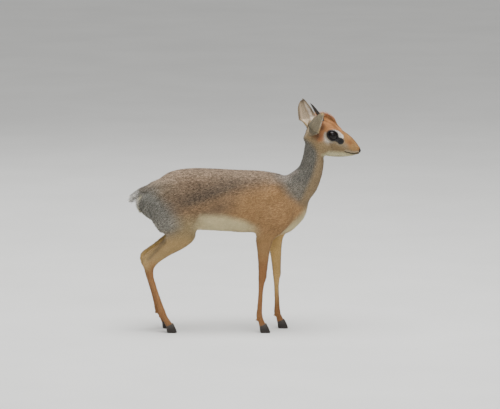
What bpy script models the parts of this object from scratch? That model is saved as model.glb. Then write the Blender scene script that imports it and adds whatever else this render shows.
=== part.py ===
"""A standing dik-dik, life size, as a still museum model.

Metres, +Z up. The animal faces +X and its left side is +Y. The flesh is modelled whole, from lofted
forms fused into one skin, and is then parted with thin cuts into head, neck, torso, tail, ears and legs.
The origin is on the floor, under the middle of the animal's bounding box.
"""

import math
import random
from collections import namedtuple

import bmesh
import bpy
from mathutils import Matrix, Vector

# Main sizes of the animal
HEAD_ORIGIN = Vector((0.150, 0.0, 0.490))
HEAD_PITCH = math.radians(19.2)
HEAD_YAW = math.radians(8.0)
EYE_RADIUS = 0.0136
EYE_PLACE = (0.0540, 0.0210, 0.0132)
EYE_LOOKS = (0.06, 0.99, 0.08)
LID_THICKNESS = 0.0017
EYE_OPENING = (0.0124, 0.0100)
EYE_SLANT = math.radians(-20.0)
EAR_THICKNESS = 0.0022
HORN_LENGTH = 0.047
HORN_RADIUS = 0.0055
HORN_RINGS = 5
HORN_BASE = (0.0200, 0.0105, 0.0400)
HORN_POINTS = (-0.77, 0.10, 0.64)
CLAW_WIDTH = 0.0104
CORONET_HEIGHT = 0.0165
CREST_LOCKS = 13
MOUTH_GAP = 0.0008

# Clearances and mesh sizes
GAP = 0.0003
VOXEL = 0.0024
FLESH_TRIANGLES = 6000
SMOOTHING_ROUNDS = 7

# One cross-section of a loft. On a form that runs forward, above is its top. On a limb that runs down,
# above is its front, and on the neck, which runs up, above is its nape.
Section = namedtuple("Section", "x y z above below half_width")

TORSO = [
    Section(-0.255, 0, 0.340, 0.012, 0.014, 0.014),
    Section(-0.247, 0, 0.333, 0.029, 0.033, 0.029),
    Section(-0.230, 0, 0.325, 0.048, 0.048, 0.040),
    Section(-0.200, 0, 0.322, 0.066, 0.064, 0.0465),
    Section(-0.165, 0, 0.324, 0.0745, 0.074, 0.0490),
    Section(-0.130, 0, 0.326, 0.0765, 0.077, 0.0500),
    Section(-0.085, 0, 0.325, 0.0765, 0.077, 0.0515),
    Section(-0.030, 0, 0.323, 0.0755, 0.078, 0.0525),
    Section(0.025, 0, 0.320, 0.0765, 0.078, 0.0500),
    Section(0.065, 0, 0.315, 0.0765, 0.078, 0.0460),
    Section(0.093, 0, 0.316, 0.0740, 0.073, 0.0415),
    Section(0.1145, 0, 0.321, 0.0620, 0.054, 0.0355),
    Section(0.1310, 0, 0.330, 0.0430, 0.034, 0.0270),
    Section(0.1420, 0, 0.338, 0.0220, 0.018, 0.0150),
]

NECK = [
    Section(0.098, 0, 0.314, 0.060, 0.045, 0.0340),
    Section(0.118, 0, 0.342, 0.053, 0.041, 0.0345),
    Section(0.136, 0, 0.368, 0.0395, 0.041, 0.0315),
    Section(0.150, 0, 0.393, 0.0280, 0.0360, 0.0270),
    Section(0.1585, 0, 0.417, 0.0260, 0.0310, 0.0245),
    Section(0.1635, 0, 0.441, 0.0255, 0.0270, 0.0230),
    Section(0.1660, 0, 0.464, 0.0250, 0.0255, 0.0226),
    Section(0.1680, 0, 0.486, 0.0245, 0.0230, 0.0215),
    Section(0.1700, 0, 0.505, 0.0210, 0.0180, 0.0180),
]

TAIL = [
    Section(-0.222, 0, 0.350, 0.0200, 0.0180, 0.0180),
    Section(-0.240, 0, 0.3480, 0.0170, 0.0150, 0.0160),
    Section(-0.254, 0, 0.3450, 0.0130, 0.0125, 0.0130),
    Section(-0.266, 0, 0.3400, 0.0094, 0.0100, 0.0100),
    Section(-0.2745, 0, 0.3345, 0.0062, 0.0070, 0.0070),
    Section(-0.2795, 0, 0.3295, 0.0028, 0.0032, 0.0030),
]

# The head's sections lie along its own axis, from the occiput to the nose, and are turned into place.
HEAD = [
    Section(-0.004, 0, 0.004, 0.0220, 0.0200, 0.0180),
    Section(0.006, 0, 0.002, 0.0345, 0.0300, 0.0235),
    Section(0.020, 0, 0, 0.0435, 0.0390, 0.0256),
    Section(0.035, 0, 0, 0.0462, 0.0430, 0.0264),
    Section(0.050, 0, 0, 0.0430, 0.0420, 0.0262),
    Section(0.065, 0, 0, 0.0368, 0.0400, 0.0240),
    Section(0.080, 0, 0, 0.0318, 0.0366, 0.0205),
    Section(0.095, 0, 0, 0.0274, 0.0322, 0.0172),
    Section(0.109, 0, 0, 0.0218, 0.0268, 0.0146),
    Section(0.121, 0, -0.001, 0.0160, 0.0203, 0.0128),
    Section(0.131, 0, -0.003, 0.0105, 0.0112, 0.0102),
    Section(0.1385, 0, -0.004, 0.0050, 0.0050, 0.0062),
]

# Soft masses that lie over the lofts of the head, as centre, radii and pitch in the head's own axes.
HEAD_MASSES = [
    ((0.045, 0.0180, -0.0200), (0.0260, 0.0120, 0.0210), 10),
    ((0.057, 0.0185, 0.0140), (0.0200, 0.0135, 0.0185), -10),
    ((0.083, 0.0150, 0.0075), (0.0085, 0.0068, 0.0070), 0),
    ((0.112, 0.0080, -0.0020), (0.0170, 0.0078, 0.0130), -25),
    ((0.018, 0.0170, 0.0210), (0.0160, 0.0120, 0.0170), 0),
]

# The limbs of the right side, which faces the viewer, and of the left. Each runs down from inside the
# torso to the fetlock, and y counts outwards from the middle plane.
FORELEG = [
    Section(0.078, 0.0270, 0.350, 0.030, 0.034, 0.0100),
    Section(0.082, 0.0310, 0.325, 0.038, 0.040, 0.0150),
    Section(0.078, 0.0325, 0.296, 0.038, 0.042, 0.0180),
    Section(0.064, 0.0325, 0.268, 0.033, 0.038, 0.0178),
    Section(0.052, 0.0320, 0.248, 0.0240, 0.0300, 0.0165),
    Section(0.0450, 0.0315, 0.228, 0.0195, 0.0225, 0.0148),
    Section(0.0435, 0.0310, 0.200, 0.0150, 0.0168, 0.0124),
    Section(0.0430, 0.0305, 0.170, 0.0122, 0.0132, 0.0102),
    Section(0.0425, 0.0300, 0.148, 0.0105, 0.0116, 0.0093),
    Section(0.0420, 0.0300, 0.136, 0.0104, 0.0112, 0.0096),
    Section(0.0405, 0.0300, 0.124, 0.0078, 0.0090, 0.0078),
    Section(0.0390, 0.0305, 0.104, 0.0062, 0.0072, 0.0060),
    Section(0.0378, 0.0310, 0.076, 0.0060, 0.0070, 0.0060),
    Section(0.0370, 0.0315, 0.054, 0.0066, 0.0078, 0.0072),
    Section(0.0370, 0.0318, 0.041, 0.0078, 0.0096, 0.0090),
]
HINDLEG = [
    Section(-0.186, 0.0240, 0.360, 0.048, 0.044, 0.0140),
    Section(-0.186, 0.0280, 0.330, 0.062, 0.054, 0.0190),
    Section(-0.183, 0.0300, 0.300, 0.067, 0.056, 0.0215),
    Section(-0.174, 0.0310, 0.272, 0.061, 0.047, 0.0215),
    Section(-0.166, 0.0310, 0.248, 0.047, 0.038, 0.0195),
    Section(-0.172, 0.0310, 0.228, 0.0285, 0.0280, 0.0160),
    Section(-0.190, 0.0305, 0.210, 0.0185, 0.0180, 0.0130),
    Section(-0.210, 0.0300, 0.193, 0.0135, 0.0125, 0.0105),
    Section(-0.2285, 0.0295, 0.177, 0.0120, 0.0120, 0.0098),
    Section(-0.2370, 0.0292, 0.160, 0.0100, 0.0120, 0.0095),
    Section(-0.2360, 0.0292, 0.140, 0.0080, 0.0086, 0.0076),
    Section(-0.2285, 0.0295, 0.115, 0.0068, 0.0074, 0.0066),
    Section(-0.2185, 0.0300, 0.085, 0.0068, 0.0074, 0.0066),
    Section(-0.2110, 0.0305, 0.062, 0.0074, 0.0084, 0.0078),
    Section(-0.2070, 0.0308, 0.049, 0.0084, 0.0100, 0.0094),
]
# The tendon behind the shank ends in the point of the hock, and a thin web fills the groove before it.
TENDON = [
    Section(-0.192, 0.0305, 0.238, 0.0200, 0.0070, 0.0075),
    Section(-0.213, 0.0300, 0.217, 0.0200, 0.0052, 0.0050),
    Section(-0.234, 0.0297, 0.201, 0.0200, 0.0048, 0.0044),
    Section(-0.2505, 0.0295, 0.187, 0.0200, 0.0054, 0.0054),
    Section(-0.2530, 0.0293, 0.174, 0.0170, 0.0054, 0.0060),
    Section(-0.2480, 0.0292, 0.158, 0.0120, 0.0048, 0.0058),
]
# How far each limb stands from the drawn one, at the shoulder or hip and at the foot.
LIMB_SHIFTS = {
    "fore_right": (-1, 0.0, -0.0060),
    "fore_left": (1, 0.0200, 0.0380),
    "hind_right": (-1, 0.0, 0.0),
    "hind_left": (1, 0.0, -0.0115),
}
LIMB_TOP = 0.300
FOOT_OUT = 0.0030
PASTERN_SLOPES = {"fore": math.radians(72), "hind": math.radians(62)}
CORONET_TILT = math.radians(22)

# Soft masses over the body: the shoulder blade, the upper arm, the hip, the thigh and the root of the tail.
BODY_MASSES = [
    ((0.066, 0.0300, 0.338), (0.0420, 0.0180, 0.0330), 60),
    ((0.056, 0.0350, 0.292), (0.0400, 0.0170, 0.0250), -50),
    ((-0.188, 0.0290, 0.345), (0.0420, 0.0220, 0.0360), 25),
    ((-0.160, 0.0340, 0.285), (0.0330, 0.0200, 0.0420), 35),
    ((-0.222, 0.0100, 0.353), (0.0300, 0.0180, 0.0200), 27),
]

# Each ear as its root, its tip and the way that its hollow faces, for the right side and the left.
EARS = {
    -1: ((0.1660, -0.0200, 0.4790), (0.1872, -0.0600, 0.5450), (0.62, 0.78, 0.05)),
    1: ((0.1600, 0.0150, 0.5000), (0.1390, 0.0430, 0.5655), (0.34, -0.93, 0.05)),
}
EAR_HALF_WIDTH = 0.0195
EAR_BOW = -0.0030
EAR_ARC_POINTS = 5
EAR_CUT = 0.0215
HORN_CUT = 0.0110

# The line of the mouth in the head's own axes, from its corner to under the nose.
MOUTH_LINE = [
    (0.1025, -0.0135),
    (0.1100, -0.0155),
    (0.1170, -0.0160),
    (0.1240, -0.0120),
    (0.1300, -0.0090),
    (0.1500, -0.0060),
]

# Where thin cuts part the flesh: middle, normal and half size. The limbs' cuts hold height and slope.
CUTS = [
    ((0.1670, 0.0, 0.4567), (0.698, 0.0, 0.716), (0.052, 0.045)),
    ((0.1250, 0.0, 0.3580), (0.785, 0.0, 0.620), (0.080, 0.070)),
    ((-0.2668, 0.0, 0.3410), (-1.0, 0.0, 0.0), (0.024, 0.022)),
]
FORE_CUTS = [
    (0.2260, 0.0, (0.030, 0.024)),
    (0.1180, 0.0, (0.018, 0.018)),
]
HIND_CUTS = [
    (0.2380, math.radians(-8), (0.064, 0.029)),
    (0.1500, math.radians(-14), (0.022, 0.018)),
]
COLOURS = {
    "coat": ((0.36, 0.24, 0.14), 0.8),
    "eye": ((0.010, 0.008, 0.006), 0.1),
    "horn": ((0.030, 0.026, 0.024), 0.5),
    "hoof": ((0.025, 0.022, 0.020), 0.45),
    "ear": ((0.300, 0.240, 0.180), 0.8),
}


def clear_scene():
    for old in list(bpy.data.objects):
        bpy.data.objects.remove(old)


def new_collection(name):
    collection = bpy.data.collections.new(name)
    bpy.context.scene.collection.children.link(collection)
    return collection


def object_from(bm, name, collection):
    mesh = bpy.data.meshes.new(name)
    bm.to_mesh(mesh)
    bm.free()
    obj = bpy.data.objects.new(name, mesh)
    collection.objects.link(obj)
    return obj


def material(name, colour, roughness):
    made = bpy.data.materials.new(name)
    made.use_nodes = True
    shader = made.node_tree.nodes["Principled BSDF"]
    shader.inputs["Base Color"].default_value = (*colour, 1)
    shader.inputs["Roughness"].default_value = roughness
    shader.inputs["Metallic"].default_value = 0
    return made


def face_outward(bm):
    """Turns every face outward, also after a transform that mirrors."""
    bm.normal_update()
    bmesh.ops.recalc_face_normals(bm, faces=bm.faces)


# Lofts and masses


def smooth_sections(sections, steps):
    """The sections with more between them, on a Catmull-Rom curve through every number that they hold."""
    found = []
    last = len(sections) - 1
    for i in range(last):
        around = [sections[max(0, min(last, i + k))] for k in (-1, 0, 1, 2)]
        for step in range(steps):
            t = step / steps
            values = []
            for a, b, c, d in zip(*around):
                curve = (
                    2 * b
                    + (c - a) * t
                    + (2 * a - 5 * b + 4 * c - d) * t**2
                    + (3 * b - a - 3 * c + d) * t**3
                )
                values.append(curve / 2)
            found.append(Section(*values))
    found.append(sections[last])
    return found


def round_power(value, power):
    return math.copysign(abs(value) ** power, value)


def loft(name, sections, collection, sides=28, squareness=2.2, steps=4, place=None):
    """A closed form through the sections, each across the path that their centres make."""
    rows = smooth_sections(sections, steps)
    centres = [Vector((row.x, row.y, row.z)) for row in rows]
    bm = bmesh.new()
    rings = []
    for i, row in enumerate(rows):
        along = centres[min(i + 1, len(rows) - 1)] - centres[max(i - 1, 0)]
        along.normalize()
        across = Vector((0, 1, 0)) - along * along.y
        across.normalize()
        over = along.cross(across)
        ring = []
        for k in range(sides):
            turn = 2 * math.pi * k / sides
            wide = round_power(math.cos(turn), 2 / squareness) * row.half_width
            deep = round_power(math.sin(turn), 2 / squareness)
            deep *= row.above if deep > 0 else row.below
            ring.append(bm.verts.new(centres[i] + across * wide + over * deep))
        rings.append(ring)
    for first, second in zip(rings, rings[1:]):
        for k in range(sides):
            n = (k + 1) % sides
            bm.faces.new((first[k], first[n], second[n], second[k]))
    bm.faces.new(reversed(rings[0]))
    bm.faces.new(rings[-1])
    if place:
        bm.transform(place)
    face_outward(bm)
    return object_from(bm, name, collection)


def ellipsoid(name, centre, radii, collection, turn=None, place=None, detail=(24, 16)):
    bm = bmesh.new()
    bmesh.ops.create_uvsphere(bm, u_segments=detail[0], v_segments=detail[1], radius=1)
    matrix = Matrix.Translation(centre) @ (turn or Matrix.Identity(4))
    matrix = matrix @ Matrix.Diagonal((*radii, 1))
    bm.transform((place or Matrix.Identity(4)) @ matrix)
    face_outward(bm)
    return object_from(bm, name, collection)


# Joining and cutting


def apply_modifiers(obj):
    graph = bpy.context.evaluated_depsgraph_get()
    graph.update()
    mesh = bpy.data.meshes.new_from_object(obj.evaluated_get(graph))
    obj.modifiers.clear()
    obj.data = mesh
    return obj


def tidy(obj):
    """Takes out the slivers that a Boolean leaves, and makes every face a triangle."""
    bm = bmesh.new()
    bm.from_mesh(obj.data)
    bmesh.ops.triangulate(bm, faces=bm.faces)
    bmesh.ops.remove_doubles(bm, verts=bm.verts, dist=0.00001)
    bmesh.ops.dissolve_degenerate(bm, edges=bm.edges, dist=0.00001)
    bmesh.ops.triangulate(bm, faces=bm.faces)
    bm.to_mesh(obj.data)
    bm.free()


def joined(name, objects, collection):
    """The objects' meshes in one object, still as separate shells."""
    bm = bmesh.new()
    for obj in objects:
        bm.from_mesh(obj.data)
    for obj in objects:
        bpy.data.objects.remove(obj)
    return object_from(bm, name, collection)


def boolean(obj, others, operation, solver="EXACT"):
    """One Boolean with a collection of closed meshes, applied, and the collection's objects removed."""
    group = bpy.data.collections.new("operands")
    for other in others:
        group.objects.link(other)
    modifier = obj.modifiers.new(operation.title(), "BOOLEAN")
    modifier.operation = operation
    modifier.operand_type = "COLLECTION"
    modifier.collection = group
    modifier.solver = solver
    apply_modifiers(obj)
    tidy(obj)
    for other in list(others):
        bpy.data.objects.remove(other)
    bpy.data.collections.remove(group)
    return obj


def fused(name, objects, collection):
    """One even skin over overlapping forms, smoothed and brought down to few triangles."""
    obj = joined(name, objects, collection)
    remesh = obj.modifiers.new("Remesh", "REMESH")
    remesh.mode = "VOXEL"
    remesh.voxel_size = VOXEL
    smooth = obj.modifiers.new("Smooth", "SMOOTH")
    smooth.factor = 0.5
    smooth.iterations = SMOOTHING_ROUNDS
    apply_modifiers(obj)
    thinned = obj.modifiers.new("Decimate", "DECIMATE")
    thinned.ratio = FLESH_TRIANGLES / (2 * len(obj.data.polygons))
    obj.modifiers.new("Triangulate", "TRIANGULATE")
    return apply_modifiers(obj)


def shells_of(obj):
    """The separate closed surfaces of an object, each as its own bmesh."""
    whole = bmesh.new()
    whole.from_mesh(obj.data)
    whole.verts.ensure_lookup_table()
    unseen = set(whole.verts)
    shells = []
    while unseen:
        todo = [unseen.pop()]
        shell = set(todo)
        while todo:
            for edge in todo.pop().link_edges:
                for vert in edge.verts:
                    if vert in unseen:
                        unseen.discard(vert)
                        shell.add(vert)
                        todo.append(vert)
        part = bmesh.new()
        twins = {v: part.verts.new(v.co) for v in sorted(shell, key=lambda v: v.index)}
        for face in whole.faces:
            if face.verts[0] in shell:
                part.faces.new([twins[v] for v in face.verts])
        shells.append(part)
    whole.free()
    return shells


def slab(name, centre, normal, half_size, collection):
    """A cutter as thin as the gap between two nodes."""
    bm = bmesh.new()
    bmesh.ops.create_cube(bm, size=1)
    over = Vector(normal).normalized()
    across = Vector((0, 1, 0)) - over * over.y
    across.normalize()
    turn = Matrix((across.cross(over), across, over)).transposed().to_4x4()
    thin = Matrix.Diagonal((2 * half_size[0], 2 * half_size[1], GAP, 1))
    bm.transform(Matrix.Translation(centre) @ turn @ thin)
    return object_from(bm, name, collection)


# Head


def head_frame():
    """From the head's own axes, along, across and over, to the model's."""
    place = Matrix.Translation(HEAD_ORIGIN)
    turn = Matrix.Rotation(HEAD_YAW, 4, "Z") @ Matrix.Rotation(HEAD_PITCH, 4, "Y")
    return place @ turn


def head_forms(collection):
    place = head_frame()
    forms = [loft("head", HEAD, collection, place=place, squareness=2.3)]
    for centre, radii, pitch in HEAD_MASSES:
        for side in (-1, 1):
            forms.append(
                ellipsoid(
                    "mass",
                    (centre[0], side * centre[1], centre[2]),
                    radii,
                    collection,
                    Matrix.Rotation(math.radians(-pitch), 4, "Y"),
                    place,
                )
            )
    return forms


def eye_frame(side):
    """From an eye's own axes, forward, up and outward, to the model's."""
    along, across, over = EYE_PLACE
    outward = Vector((EYE_LOOKS[0], side * EYE_LOOKS[1], EYE_LOOKS[2])).normalized()
    forward = Vector((math.cos(EYE_SLANT), 0, math.sin(EYE_SLANT)))
    forward = (forward - outward * forward.dot(outward)).normalized()
    up = outward.cross(forward) * -side
    turn = Matrix((forward, up, outward)).transposed().to_4x4()
    return head_frame() @ Matrix.Translation((along, side * across, over)) @ turn


# Limbs


def limb_sections(sections, limb):
    """One limb's sections, on its own side and leaning to its own footfall."""
    side, at_top, at_foot = LIMB_SHIFTS[limb]
    moved = []
    for row in sections:
        share = min(1, max(0, (LIMB_TOP - row.z) / (LIMB_TOP - 0.05)))
        shift = at_top + (at_foot - at_top) * share
        out = row.y + FOOT_OUT * share
        moved.append(row._replace(x=row.x + shift, y=side * out))
    return moved


def coronet_of(limb):
    """The middle of the plane where the hoof begins."""
    fetlock = limb_sections(FORELEG if limb.startswith("fore") else HINDLEG, limb)[-1]
    slope = PASTERN_SLOPES[limb.split("_")[0]]
    reach = (fetlock.z - CORONET_HEIGHT) / math.tan(slope)
    return Vector((fetlock.x + reach, fetlock.y, CORONET_HEIGHT))


def pastern(fetlock, coronet):
    """The short stretch that slopes forward from the fetlock into the hoof."""
    start = Vector((fetlock.x, fetlock.y, fetlock.z))
    rows = []
    for share, front, back, wide in (
        (0.35, 0.0070, 0.0086, 0.0084),
        (0.75, 0.0080, 0.0084, 0.0092),
        (1.15, 0.0094, 0.0090, 0.0100),
    ):
        middle = start.lerp(coronet, share)
        rows.append(Section(*middle, front, back, wide))
    return rows


def limb_forms(limb, collection):
    rows = limb_sections(FORELEG if limb.startswith("fore") else HINDLEG, limb)
    rows += pastern(rows[-1], coronet_of(limb))
    forms = [loft(limb, rows, collection, sides=20)]
    if limb.startswith("hind"):
        tendon = limb_sections(TENDON, limb)
        forms.append(loft("tendon", tendon, collection, sides=14))
    return forms


def coronet_plane(limb, lift):
    """A point and the upward normal of the slanting edge of the hoof."""
    normal = Vector((-math.sin(CORONET_TILT), 0, math.cos(CORONET_TILT)))
    return coronet_of(limb) + normal * lift, normal


def below_coronet(limb, collection):
    """A block under the edge of the hoof, that takes the end off the pastern."""
    point, normal = coronet_plane(limb, GAP)
    bm = bmesh.new()
    bmesh.ops.create_cube(bm, size=0.05)
    turn = normal.to_track_quat("Z", "Y").to_matrix().to_4x4()
    bm.transform(Matrix.Translation(point - normal * 0.025) @ turn)
    return object_from(bm, "below_coronet", collection)


def claw(name, limb, across, collection):
    """Half a cloven hoof: rings from the coronet down to a flat sole on the floor."""
    top, normal = coronet_plane(limb, 0)
    start = top + Vector((0, across * (CLAW_WIDTH / 2 + 0.00035), 0))
    sides = 16
    bm = bmesh.new()
    rings = []
    for share, length, width in (
        (0.0, 0.0092, 0.0048),
        (0.25, 0.0100, 0.0052),
        (0.6, 0.0111, 0.0053),
        (0.92, 0.0120, 0.0052),
        (1.0, 0.0121, 0.0048),
    ):
        middle = start + Vector((0.0062, 0, -CORONET_HEIGHT)) * share
        tilt = CORONET_TILT * (1 - share)
        ring = []
        for k in range(sides):
            turn = 2 * math.pi * k / sides
            ahead = math.cos(turn)
            wide = round_power(math.sin(turn), 0.8) * width
            # The toe narrows, and the two halves lie flat against each other.
            wide *= 1 - 0.45 * max(0, ahead) ** 1.6
            if wide * across < 0:
                wide *= 1 - 0.30 * max(0, -ahead)
            else:
                wide += across * 0.0008 * max(0, ahead)
            x = length * ahead
            ring.append(bm.verts.new(middle + Vector((x, wide, math.tan(tilt) * x))))
        rings.append(ring)
    for first, second in zip(rings, rings[1:]):
        for k in range(sides):
            n = (k + 1) % sides
            bm.faces.new((first[k], first[n], second[n], second[k]))
    bm.faces.new(reversed(rings[0]))
    bm.faces.new(rings[-1])
    face_outward(bm)
    return object_from(bm, name, collection)


def dew_claws(limb, collection):
    rows = limb_sections(FORELEG if limb.startswith("fore") else HINDLEG, limb)
    fetlock = rows[-1]
    forms = []
    for across in (-1, 1):
        centre = (fetlock.x - 0.0072, fetlock.y + across * 0.0050, fetlock.z - 0.0080)
        turn = Matrix.Rotation(math.radians(35), 4, "Y")
        radii = (0.0028, 0.0026, 0.0046)
        forms.append(ellipsoid("dew", centre, radii, collection, turn, detail=(10, 8)))
    return forms


# Ears, horns and crest


def ear(name, side, collection):
    """A leaf that curls round its own axis, almost a tube at its root and open at its tip."""
    base, tip, opening = (Vector(v) for v in EARS[side])
    axis = (tip - base).normalized()
    face = (opening - axis * opening.dot(axis)).normalized()
    across = axis.cross(face)
    length = (tip - base).length
    half = EAR_ARC_POINTS
    bm = bmesh.new()
    rings = []
    steps = 16
    for i in range(steps + 1):
        u = i / steps
        width = 0.0012 + EAR_HALF_WIDTH * math.sin(math.pi * u**0.72) ** 0.62
        width = max(width, 0.0125) if u < 0.3 else width
        curl = math.radians(135 - 88 * min(1, u / 0.45) ** 0.8)
        radius = width / curl
        thick = EAR_THICKNESS * (1 - 0.35 * u)
        middle = base + axis * (length * u) + face * (EAR_BOW * math.sin(math.pi * u))
        outer = []
        inner = []
        for k in range(-half, half + 1):
            turn = curl * k / half
            spoke = across * math.sin(turn) - face * math.cos(turn)
            lean = 1 - 0.45 * abs(k / half) ** 4
            outer.append(bm.verts.new(middle + spoke * (radius + thick / 2 * lean)))
            inner.append(bm.verts.new(middle + spoke * (radius - thick / 2 * lean)))
        rings.append(outer + inner[::-1])
    count = len(rings[0])
    for first, second in zip(rings, rings[1:]):
        for k in range(count):
            n = (k + 1) % count
            bm.faces.new((first[k], first[n], second[n], second[k]))
    for ring in (rings[0], rings[-1]):
        for k in range(2 * half):
            bm.faces.new((ring[k], ring[k + 1], ring[count - 2 - k], ring[count - 1 - k]))
    face_outward(bm)
    return object_from(bm, name, collection), base, axis


def horn(name, side, collection):
    """A slender spike with rings round its lower half."""
    place = head_frame()
    base = place @ Vector((HORN_BASE[0], side * HORN_BASE[1], HORN_BASE[2]))
    points = Vector((HORN_POINTS[0], side * HORN_POINTS[1], HORN_POINTS[2]))
    axis = (place.to_3x3() @ points).normalized()
    turn = axis.to_track_quat("Z", "Y").to_matrix().to_4x4()
    rows = []
    steps = 25
    for i in range(steps + 1):
        u = i / steps
        radius = HORN_RADIUS * (1 - u) ** 0.75 + 0.0004
        ridge = max(0, 1 - u / 0.6) * 0.0007
        radius += ridge * math.cos(2 * math.pi * u * HORN_RINGS / 0.6)
        bend = 0.0030 * (u - 0.4) ** 2
        rows.append((u * HORN_LENGTH, bend, radius))
    sides = 10
    bm = bmesh.new()
    rings = []
    for height, bend, radius in rows:
        ring = []
        for k in range(sides):
            a = 2 * math.pi * k / sides
            ring.append(
                bm.verts.new(
                    (radius * math.cos(a), radius * math.sin(a) - bend, height)
                )
            )
        rings.append(ring)
    for first, second in zip(rings, rings[1:]):
        for k in range(sides):
            n = (k + 1) % sides
            bm.faces.new((first[k], first[n], second[n], second[k]))
    bm.faces.new(reversed(rings[0]))
    bm.faces.new(rings[-1])
    bm.transform(Matrix.Translation(base) @ turn)
    face_outward(bm)
    return object_from(bm, name, collection), base, axis


def lock(points, across, width, thickness, collection, place):
    """A flat lock of hair through the points, widest near its root and drawn out to a tip."""
    bm = bmesh.new()
    rings = []
    last = len(points) - 1
    for i, point in enumerate(points):
        along = points[min(i + 1, last)] - points[max(i - 1, 0)]
        over = along.cross(across).normalized()
        share = 1 - 0.86 * (i / last) ** 2.2
        side = across * (width / 2 * share)
        up = over * (thickness / 2 * share)
        ring = [point + side, point + up, point - side, point - up]
        rings.append([bm.verts.new(place @ co) for co in ring])
    for first, second in zip(rings, rings[1:]):
        for k in range(4):
            n = (k + 1) % 4
            bm.faces.new((first[k], first[n], second[n], second[k]))
    bm.faces.new(reversed(rings[0]))
    bm.faces.new(rings[-1])
    face_outward(bm)
    return object_from(bm, "lock", collection)


def crest(collection):
    """Locks that rise from the forehead and lean back over each other."""
    rand = random.Random(7)
    place = head_frame()
    made = []
    for i in range(CREST_LOCKS):
        row = i / (CREST_LOCKS - 1)
        spread = (0, 1, -1)[i % 3] * (0.0040 + 0.0024 * row) + rand.uniform(-1, 1) * 0.0006
        root = Vector((0.0700 - 0.040 * row, spread, 0.0310 + 0.0110 * row))
        length = 0.0312 - 0.0045 * row + rand.uniform(-1, 1) * 0.0012
        lift = math.radians(60 + 16 * row + rand.uniform(-3, 3))
        points = []
        co = root.copy()
        for _ in range(5):
            points.append(co.copy())
            step = Vector((-math.cos(lift), spread * 8, math.sin(lift)))
            co += step.normalized() * length / 4
            lift -= math.radians(14)
        points[0] -= Vector((0, 0, 0.003))
        roll = math.radians(rand.uniform(-9, 9))
        across = Vector((0, math.cos(roll), math.sin(roll)))
        made.append(lock(points, across, 0.0125, 0.0054, collection, place))
    return made


def tail_tuft(collection):
    """Locks at the end of the tail, that fall back and down."""
    made = []
    for across, drop in ((0, 0), (0.6, 0.4), (-0.6, 0.4), (0, 0.9)):
        start = Vector((-0.2700, across * 0.006, 0.3385 - drop * 0.006))
        points = []
        for k in range(4):
            u = k / 3
            reach = Vector((-0.0115, across * 0.004, -0.0085 - 0.003 * drop - 0.002 * u))
            points.append(start + reach * u)
        made.append(
            lock(points, Vector((0, 1, 0)), 0.0085, 0.0045, collection, Matrix())
        )
    return made


# Face cuts


def lids(side, collection):
    """The outside of both lids, a shell's width over the ball of the eye."""
    radius = EYE_RADIUS + GAP + LID_THICKNESS
    return ellipsoid(
        "lids", (0, 0, 0), (radius,) * 3, collection, place=eye_frame(side), detail=(24, 14)
    )


def eye_cutters(side, collection):
    """The socket that the ball sits in, and the almond gap between the lids."""
    radius = EYE_RADIUS + GAP
    socket = ellipsoid(
        "socket", (0, 0, 0), (radius,) * 3, collection, place=eye_frame(side), detail=(24, 14)
    )
    sides = 28
    bm = bmesh.new()
    rings = []
    for depth, grow in ((0.0040, 0.86), (0.0190, 1.10)):
        ring = []
        for k in range(sides):
            turn = 2 * math.pi * k / sides
            x = math.cos(turn) * EYE_OPENING[0] * grow
            y = round_power(math.sin(turn), 1.2) * EYE_OPENING[1] * grow
            ring.append(bm.verts.new((x, y, depth)))
        rings.append(ring)
    for k in range(sides):
        n = (k + 1) % sides
        bm.faces.new((rings[0][k], rings[0][n], rings[1][n], rings[1][k]))
    bm.faces.new(reversed(rings[0]))
    bm.faces.new(rings[1])
    bm.transform(eye_frame(side))
    face_outward(bm)
    return [socket, object_from(bm, "opening", collection)]


def mouth_cutter(collection):
    """A thin bent plate that parts the lips back to the corners of the mouth."""
    place = head_frame()
    bm = bmesh.new()
    rows = []
    for along, over in MOUTH_LINE:
        corners = []
        for across in (-0.03, 0.03):
            for lift in (-MOUTH_GAP / 2, MOUTH_GAP / 2):
                corners.append(bm.verts.new(place @ Vector((along, across, over + lift))))
        rows.append((corners[0], corners[2], corners[3], corners[1]))
    for first, second in zip(rows, rows[1:]):
        for k in range(4):
            n = (k + 1) % 4
            bm.faces.new((first[k], first[n], second[n], second[k]))
    bm.faces.new(reversed(rows[0]))
    bm.faces.new(rows[-1])
    face_outward(bm)
    return object_from(bm, "mouth", collection)


def nostrils(collection):
    made = []
    for side in (-1, 1):
        turn = Matrix.Rotation(side * math.radians(24), 4, "Z")
        turn = turn @ Matrix.Rotation(math.radians(-35), 4, "Y")
        made.append(
            ellipsoid(
                "nostril",
                (0.1335, side * 0.0068, 0.0005),
                (0.0040, 0.0020, 0.0016),
                collection,
                turn,
                head_frame(),
                detail=(12, 8),
            )
        )
    return made


# Parting the flesh into nodes


def parting_slabs(ears, horns, collection):
    slabs = []
    for centre, normal, half in CUTS:
        slabs.append(slab("cut", centre, normal, half, collection))
    for limb in LIMB_SHIFTS:
        side, at_top, at_foot = LIMB_SHIFTS[limb]
        front = limb.startswith("fore")
        for height, slope, half in FORE_CUTS if front else HIND_CUTS:
            row = limb_at(limb, height)
            normal = (math.sin(slope), 0, math.cos(slope))
            slabs.append(slab("cut", (row.x, row.y, height), normal, half, collection))
    for base, axis in ears:
        centre = base + axis * EAR_CUT
        slabs.append(slab("cut", centre, axis, (0.019, 0.019), collection))
    for base, axis in horns:
        centre = base + axis * HORN_CUT
        slabs.append(slab("cut", centre, axis, (0.0085, 0.0085), collection))
    return slabs


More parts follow.
